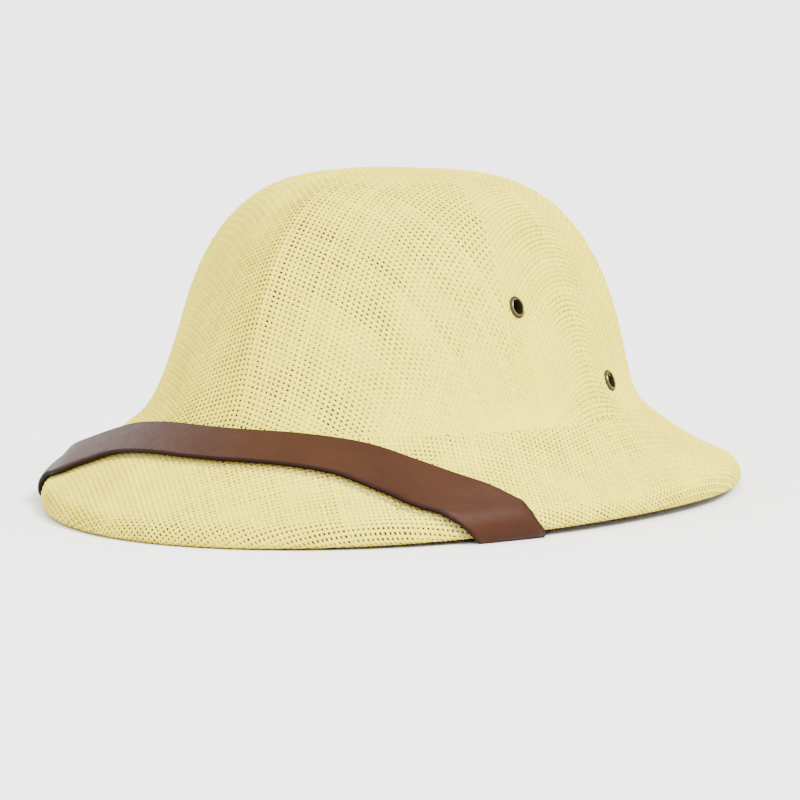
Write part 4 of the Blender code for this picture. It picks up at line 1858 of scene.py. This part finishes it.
                # Painted shadow of the strap on the straw below its edge, stored as negative values.
                strap_shadow = strap_shadow_mark(points, self.pressed, self.strap_shadow_reach)
                line = (points, outs, waves, fulls, turn(share) * (1.0 - strap_shadow) - strap_shadow)
                paths.add_runs(line, valid, self.least_step, self.largest_step)
        return paths

    def find_on_skin(self, plan: np.ndarray) -> tuple[np.ndarray, np.ndarray]:
        """Angle and share along the outer skin of points of the flat cloth."""
        angle, distance = self.find_angle(plan)
        return angle, distance / self.skin.length(angle)

    def find_on_flap(self, plan: np.ndarray) -> tuple[np.ndarray, np.ndarray]:
        """Find points on the flap, whose cloth turns back toward the crown.

        Args:
            plan: Plan points of the flat cloth.

        Returns:
            Angle and share along the flap of each point.
        """
        angle, distance = self.find_angle(plan)
        length = self.flap.length(angle)
        rim = read_round(np.array([section.run for section in self.sections]), angle)
        rolled = rim - self.form.lip_thickness + (length - self.form.flap_width + self.form.lip_thickness)
        return angle, (rolled - distance) / length

    def turn_on_skin(self, share: np.ndarray) -> np.ndarray:
        """How far the cloth has turned under along the outer skin: only inside the lip, where shade is painted.
        """
        return np.clip((share - self.turn_from) / (1.0 - self.turn_from), 0.0, 1.0) * self.groove

    def turn_on_flap(self, share: np.ndarray) -> np.ndarray:
        """How far the cloth has turned under along the flap: painted shade, darkest in the groove beside the
        lip.
        """
        return 1.0 + (self.groove - 1.0) * np.exp(-((np.maximum(share, 0.0) / self.groove_reach) ** 2))

    def build_weave(self, tree: WeavingTree, finishes: Finishes) -> None:
        """Threads over the top of the brim and under its flap.

        Args:
            tree: The weaving tree.
            finishes: The hat's materials.
        """
        over = (self.skin, self.weave, self.find_on_skin, self.turn_on_skin)
        for family, side in enumerate(Side):
            paths = self.slanted_paths(*over, (family,), self.over_seed)
            name = f"brim_weave_{side.label}_slant"
            self.weave.weave(tree, paths, name, finishes.straw, self.width_seed + family)
        under = (self.flap, self.flap_weave, self.find_on_flap, self.turn_on_flap)
        paths = self.slanted_paths(*under, (0, 1), self.flap_seed)
        self.add_raw_edge(paths)
        self.flap_weave.weave(tree, paths, "flap_weave", finishes.straw, self.width_seed + len(Side))

    def add_raw_edge(self, paths: ThreadPaths) -> None:
        """Add the brown cut line that ends the flap: a thin strand for the raw edge and its shadow line, in
        painted shade.

        Args:
            paths: Lines that it is added to.
        """
        angles = np.linspace(0.0, FULL_TURN, self.steps + 1)
        wander = 0.5 + 0.3 * np.sin(23 * angles) + 0.2 * np.sin(41 * angles + 1.0)
        points, outs = self.flap.at(angles, 1.0 - self.raw_edge_wander * wander)
        points = points - outs * self.flap_weave.depth * 0.3
        ones = np.ones(len(angles))
        # Value 2 gives the raw edge the painted groove shade.
        paths.add(points, outs, 0.0 * ones, self.raw_edge_full * ones, 2.0 * ones)

    def build_facing(self, finish: bpy.types.Material) -> None:
        """Build the facing cloth under the brim, from the head opening to the flap.

        Args:
            finish: Its material.
        """
        form = self.form
        loops = []
        for section in self.ring_sections():
            runs = np.linspace(section.cloth_start(), section.run - form.flap_width - form.gap, 16)
            over = section.under(runs, form.brim_cloth + form.gap)
            under = section.under(runs[::-1], form.brim_cloth + form.gap + form.facing_cloth)
            loops.append(section.place(np.vstack([over, under])))
        piece = ring_solid("facing_cloth", loops, slanted(np.vstack(loops)))
        dress(piece, finish, "straw_facing")
        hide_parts("under_brim")


# ---- leather


@dataclass
class Sweatband:
    """Leather band inside the head opening."""

    form: HatForm
    steps: int = 240
    edge_round: float = 0.0006
    edge_margin: float = 0.003

    def reach(self, angle: np.ndarray, height: float) -> np.ndarray:
        """Reach of the band's outer face: along the crown above the neck, straight down below it."""
        depth = self.form.crown_wall + self.form.gap + self.form.brim_cloth + self.form.gap
        return self.form.inner_reach(angle, np.array(max(height, self.form.neck_height)), depth)

    def build(self, finish: bpy.types.Material) -> None:
        """Build the band with rounded edges.

        Args:
            finish: Its material.
        """
        form, soft = self.form, self.edge_round
        thick, top, bottom = form.band_thickness, form.band_rise, -form.band_hang
        flat = np.linspace(top - self.edge_margin, bottom + self.edge_margin, 9)
        heights = np.concatenate([[top - soft], flat, [bottom + soft]])
        rows = [(h, 0.0) for h in heights]
        rows += [(bottom, soft), (bottom, thick - soft)]
        rows += [(h, thick) for h in heights[::-1]]
        rows += [(top, thick - soft), (top, soft)]
        loops, maps = [], []
        for angle in even_angles(self.steps):
            at = np.array(angle)
            loop = [form.crown_point(at, self.reach(at, h) - inward, np.array(h)) for h, inward in rows]
            loops.append(np.array(loop))
            maps.append([(angle * MAP_REACH, (h - top) / (top - bottom) * 2 + 1) for h, _ in rows])
        piece = ring_solid("sweatband_leather", loops, np.vstack(maps))
        dress(piece, finish, "band_leather")
        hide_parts("sweatband")


@dataclass
class ChinStrap:
    """Leather strap over the front of the brim, round the rim and up to the sweatband."""

    form: HatForm
    brim: Brim
    band: Sweatband
    width: float = 0.0190
    anchor_angle: float = math.radians(67.0)
    tuck: float = 0.0075
    flat_reach: float = 0.0006
    leave_share: float = 0.45
    arrive_share: float = 0.22
    brim_rows: int = 150
    hang_rows: int = 40
    across_rows: int = 9
    edge_round: float = 0.0006
    edge_thin: float = 0.45
    samples: int = 400
    look_ahead: float = 0.002
    nudge: float = math.radians(0.5)
    # Places across the strap, just inside and just beyond its edge toward the rim, where its shadow is painted.
    strap_shadow_places: tuple[float, float] = (-0.98, -1.14)
    # Share of the rest angle, share of the way out to the lip's low line, lean of the strap's
    # width toward the rim's way, and lift of its edge toward the crown in strap widths.
    route: tuple[tuple[float, float, float, float], ...] = (
        (0.000, 0.150, 0.0, 0.00),
        (0.252, 0.160, 0.0, 0.00),
        (0.468, 0.240, 0.1, 0.02),
        (0.649, 0.420, 0.4, 0.10),
        (0.793, 0.610, 0.8, 0.16),
        (0.883, 0.745, 1.0, 0.04),
        (0.937, 0.845, 1.0, 0.00),
        (0.980, 0.945, 1.0, 0.00),
        (1.009, 1.020, 1.0, 0.00),
    )
    table: SkinTable = field(init=False)
    bottoms: np.ndarray = field(init=False)

    def __post_init__(self) -> None:
        """Measure the brim's skin along its whole section."""
        lines = [section.skin() for section in self.brim.sections]
        measures = [travelled(line) for line in lines]
        self.table = SkinTable(self.brim.sections, lines, measures, self.samples)
        self.bottoms = np.array([travel[-(SKIN_STEPS // 2) - 1] for travel in measures])

    def bottom(self, angle: np.ndarray) -> np.ndarray:
        """Length of skin from the crown's edge to the lip's lowest line."""
        return read_round(self.bottoms, angle)

    def on_skin(self, angle: np.ndarray, travel: np.ndarray, lift: np.ndarray | float) -> np.ndarray:
        """Points on the brim at lengths from the crown's edge, raised square to it."""
        points, normals = self.table.at(angle, travel / self.table.length(angle))
        return points + normals * np.asarray(lift)[..., None]

    def along_route(self, shares: np.ndarray) -> np.ndarray:
        """Smooth values of the route's columns.

        Args:
            shares: Shares of the way along its rows.

        Returns:
            One row for each share, its first column an angle from the front.
        """
        points = np.array(self.route)
        points[:, 0] *= self.form.strap_rest_angle
        ahead = np.vstack([points[1:], 2 * points[-1:] - points[-2:-1]])
        behind = np.vstack([2 * points[:1] - points[1:2], points[:-1]])
        tangents = (ahead - behind) / 2
        place = shares * (len(points) - 1)
        k = np.minimum(place.astype(int), len(points) - 2)
        s = (place - k)[:, None]
        return (
            (2 * s**3 - 3 * s**2 + 1) * points[k]
            + (s**3 - 2 * s**2 + s) * tangents[k]
            + (3 * s**2 - 2 * s**3) * points[k + 1]
            + (s**3 - s**2) * tangents[k + 1]
        )

    def on_brim(self, offsets: np.ndarray) -> tuple[np.ndarray, np.ndarray]:
        """Inner and outer faces of half the strap where it lies on the brim.

        Args:
            offsets: Places across the strap, from 1 at the edge toward the crown to -1.

        Returns:
            Inner face and outer face, rows by offsets by three.
        """
        shares = np.linspace(0.0, 1.0, self.brim_rows)
        here, ahead = self.along_route(shares), self.along_route(shares + self.look_ahead)
        angle, share, lean, tilt = here.T
        bottom = self.bottom(angle)
        travel = share * bottom
        beyond, short = (self.on_skin(angle + nudge, travel, 0.0) for nudge in (self.nudge, -self.nudge))
        speed = np.linalg.norm(beyond - short, axis=1) / (2 * self.nudge)
        way = [(ahead[:, 0] - angle) * speed, ahead[:, 1] * self.bottom(ahead[:, 0]) - travel]
        forward = unit(np.stack(way, -1))
        square = np.stack([forward[:, 1], -forward[:, 0]], -1)
        across = (1 - lean)[:, None] * square + lean[:, None] * np.array([1.0, 0.0])
        across *= (self.width / 2 / np.abs((across * square).sum(-1)))[:, None]
        beside = angle[:, None] + offsets * (across[:, 0] / speed)[:, None]
        beside_share = share[:, None] + offsets * (across[:, 1] / bottom)[:, None]
        length = np.maximum(beside_share * self.bottom(beside), 2 * self.form.gap)
        tilted = tilt[:, None] * self.width * (1 + offsets) / 2
        inner, outer = (
            self.on_skin(beside, length, lift + tilted)
            for lift in (self.form.gap, self.form.gap + self.form.strap_thickness)
        )
        outer[..., 2] = np.where(outer[..., 2] < self.flat_reach, 0.0, outer[..., 2])
        return inner, outer

    def strap_shadow_spots(self) -> np.ndarray:
        """Points under the strap beside its outer edge, where it lies on the brim and its shadow is painted on
        the straw.
        """
        spots = self.on_brim(np.array(self.strap_shadow_places))[0].reshape(-1, 3)
        return np.vstack([spots, Side.RIGHT.mirror(spots)])

    def hanging(
        self, start: np.ndarray, before: np.ndarray, offsets: np.ndarray
    ) -> tuple[np.ndarray, np.ndarray]:
        """Stretch from the lip's inner side up to the sweatband.

        Args:
            start: Last row of points on the brim, midway through the strap.
            before: The row before it.
            offsets: Places across the strap.

        Returns:
            Inner face and outer face, rows by offsets by three.
        """
        form = self.form
        middle = len(offsets) // 2
        level_only, rise = np.array([1.0, 1.0, 0.0]), np.array([0.0, 0.0, 1.0])
        heading = unit((start[middle] - before[middle]) * level_only)
        step = self.width / 2 / form.crown_half_width
        level = self.tuck - form.band_hang
        anchor, behind, ahead = (
            form.crown_point(np.array(angle), self.band.reach(np.array(angle), level), np.array(level))
            for angle in (self.anchor_angle, self.anchor_angle + step, self.anchor_angle - step)
        )
        backward = unit((behind - ahead) * level_only)
        place = anchor + np.cross(backward, rise) * (form.gap + form.strap_thickness / 2)
        chord = float(np.linalg.norm(place - start[middle]))
        shares = np.arange(0, self.hang_rows + 1) / self.hang_rows
        lines = []
        for edge, offset in zip(start, offsets):
            end = place + backward * offset * self.width / 2
            leave, arrive = edge + heading * chord * self.leave_share, end - rise * chord * self.arrive_share
            lines.append(bezier((edge, leave, arrive, end), shares))
        middles = np.stack(lines, 1)
        across = middles[:, 0] - middles[:, -1]
        along = np.gradient(middles[:, middle], axis=0)
        square = unit(np.cross(across, along)) * form.strap_thickness / 2
        return (middles + square[:, None])[1:], (middles - square[:, None])[1:]

    def build(self, finish: bpy.types.Material) -> None:
        """Build the whole strap as one ribbon with rounded edges.

        Args:
            finish: Its material.
        """
        soft = self.edge_round / (self.width / 2)
        offsets = np.concatenate([[1.0], np.linspace(1.0 - soft, -1.0 + soft, self.across_rows), [-1.0]])
        inner, outer = self.on_brim(offsets)
        middles = (inner + outer) / 2
        hang_inner, hang_outer = self.hanging(middles[-1], middles[-2], offsets)
        inner, outer = np.vstack([inner, hang_inner]), np.vstack([outer, hang_outer])
        outer[..., 2] = np.maximum(outer[..., 2], 0.0)
        thin = np.ones(len(offsets))
        thin[[0, -1]] = self.edge_thin
        centre = (inner + outer) / 2
        inner, outer = (centre + (face - centre) * thin[None, :, None] for face in (inner, outer))
        half = np.concatenate([inner, outer[:, ::-1]], axis=1)
        sections = np.concatenate([Side.RIGHT.mirror(half[:0:-1]), half])
        count, ring = sections.shape[:2]
        faces = grid_faces(count, ring, False, True)
        faces += [tuple(range(ring)), tuple(range((count - 1) * ring, count * ring))]
        piece = make_mesh("strap_leather", sections.reshape(-1, 3), faces)
        travel = running_total(np.linalg.norm(np.diff(sections[:, ring // 4], axis=0), axis=1))
        across = np.concatenate([offsets, offsets[::-1]])
        pairs = np.stack(np.broadcast_arrays(travel[:, None], across[None]), -1)
        store_map(piece, pairs.reshape(-1, 2))
        dress(piece, finish, "strap_leather")
        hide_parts("chin_strap")


# ---- studio


def toward_viewer(azimuth: float, elevation: float) -> Vector:
    """Direction from the hat toward a viewer."""
    flat = math.cos(elevation)
    return Vector((math.sin(azimuth) * flat, -math.cos(azimuth) * flat, math.sin(elevation)))


def stand(name: str, data: bpy.types.ID, spot: Vector, target: Vector) -> bpy.types.Object:
    """Add a light or a camera.

    Args:
        name: Its name.
        data: Its light or camera data.
        spot: Where it stands.
        target: What it is turned toward.

    Returns:
        The object.
    """
    made = add_object(name, data)
    made.location = spot
    made.rotation_euler = (target - spot).to_track_quat("-Z", "Y").to_euler()
    return made


@dataclass(frozen=True)
class Studio:
    """Pale floor, soft lights and the camera."""

    azimuth: float = math.radians(33.0)
    elevation: float = math.radians(6.0)
    distance: float = 1.386
    lens: float = 152.5
    target: tuple[float, float, float] = (0.0, 0.0, 0.06)
    aim_right: float = 0.0058
    aim_down: float = 0.0225
    floor_radius: float = 60.0
    floor_steps: int = 96
    floor_colour: Colour = (0.80, 0.80, 0.80)
    world_colour: Colour = (0.98, 0.99, 1.0)
    world_strength: float = 2.7

    def build(self) -> None:
        """Floor, world, lights and camera."""
        self.add_floor()
        self.add_world()
        self.add_lights()
        self.add_camera()

    def add_floor(self) -> None:
        """Wide pale floor."""
        turns = even_angles(self.floor_steps)
        rim = [(self.floor_radius * math.cos(turn), self.floor_radius * math.sin(turn), 0.0) for turn in turns]
        faces = [(0, k + 1, (k + 1) % self.floor_steps + 1) for k in range(self.floor_steps)]
        mesh = bpy.data.meshes.new("floor")
        mesh.from_pydata([(0.0, 0.0, 0.0), *rim], [], faces)
        floor = add_object("floor", mesh)
        bench = ShaderBench("pale_floor")
        mesh.materials.append(bench.surface(Base_Color=(*self.floor_colour, 1.0), Roughness=0.9))

    def add_world(self) -> None:
        """Even pale surroundings."""
        world = bpy.data.worlds.new("studio")
        world.use_nodes = True
        inputs = world.node_tree.nodes["Background"].inputs
        inputs["Color"].default_value = (*self.world_colour, 1.0)
        inputs["Strength"].default_value = self.world_strength
        bpy.context.scene.world = world

    def add_lights(self) -> None:
        """Soft key light from the side and a wide fill light from the front."""
        key = bpy.data.lights.new("key", "SUN")
        key.energy, key.angle, key.color = 8.0, math.radians(20.0), (1.0, 0.985, 0.95)
        stand("key", key, toward_viewer(math.radians(80.0), math.radians(48.0)), Vector())
        fill = bpy.data.lights.new("fill", "AREA")
        fill.energy, fill.shape, fill.size = 40.0, "SQUARE", 1.6
        stand("fill", fill, toward_viewer(math.radians(20.0), math.radians(35.0)) * 2.4, Vector(self.target))

    def add_camera(self) -> None:
        """Camera at the photo's side of the hat."""
        data = bpy.data.cameras.new("camera")
        data.lens, data.sensor_width = self.lens, 36.0
        centre = Vector(self.target)
        spot = centre + toward_viewer(self.azimuth, self.elevation) * self.distance
        right = Vector((math.cos(self.azimuth), math.sin(self.azimuth), 0.0))
        target = centre + right * self.aim_right - Vector((0.0, 0.0, self.aim_down))
        bpy.context.scene.camera = stand("camera", data, spot, target)


def main() -> None:
    """Build the hat piece by piece."""
    logging.basicConfig(level=logging.INFO, format="%(name)s: %(message)s")
    finishes = Finishes.build()
    form = HatForm()
    weaving = WeavingTree()
    crown_cloth = StrawWeave()
    brim_cloth = StrawWeave(pitch=0.00188, width=0.00156, loosening=0.27, loose_from=0.70)
    flap_cloth = StrawWeave(pitch=0.00188, width=0.00150, ground=0.00055, depth=0.0002)
    eyelets = (
        Eyelet("upper", angle=math.radians(64.8), height=0.0459),
        Eyelet("lower", angle=math.radians(101.2), height=0.0129),
    )
    for seed, side in enumerate(Side, 3):
        CrownHalf(form, crown_cloth, side, seed, eyelets).build(weaving, finishes)
    brim = Brim(form, brim_cloth, flap_cloth)
    band = Sweatband(form)
    strap = ChinStrap(form, brim, band)
    # The strap's shadow is painted on the brim's straw beside these spots.
    brim.pressed = strap.strap_shadow_spots()
    brim.build_shell(finishes.hole_shade_ground)
    brim.build_weave(weaving, finishes)
    brim.build_facing(finishes.facing)
    band.build(finishes.band)
    strap.build(finishes.strap)
    Studio().build()
    LOG.info("built")


if __name__ == "__main__":
    main()
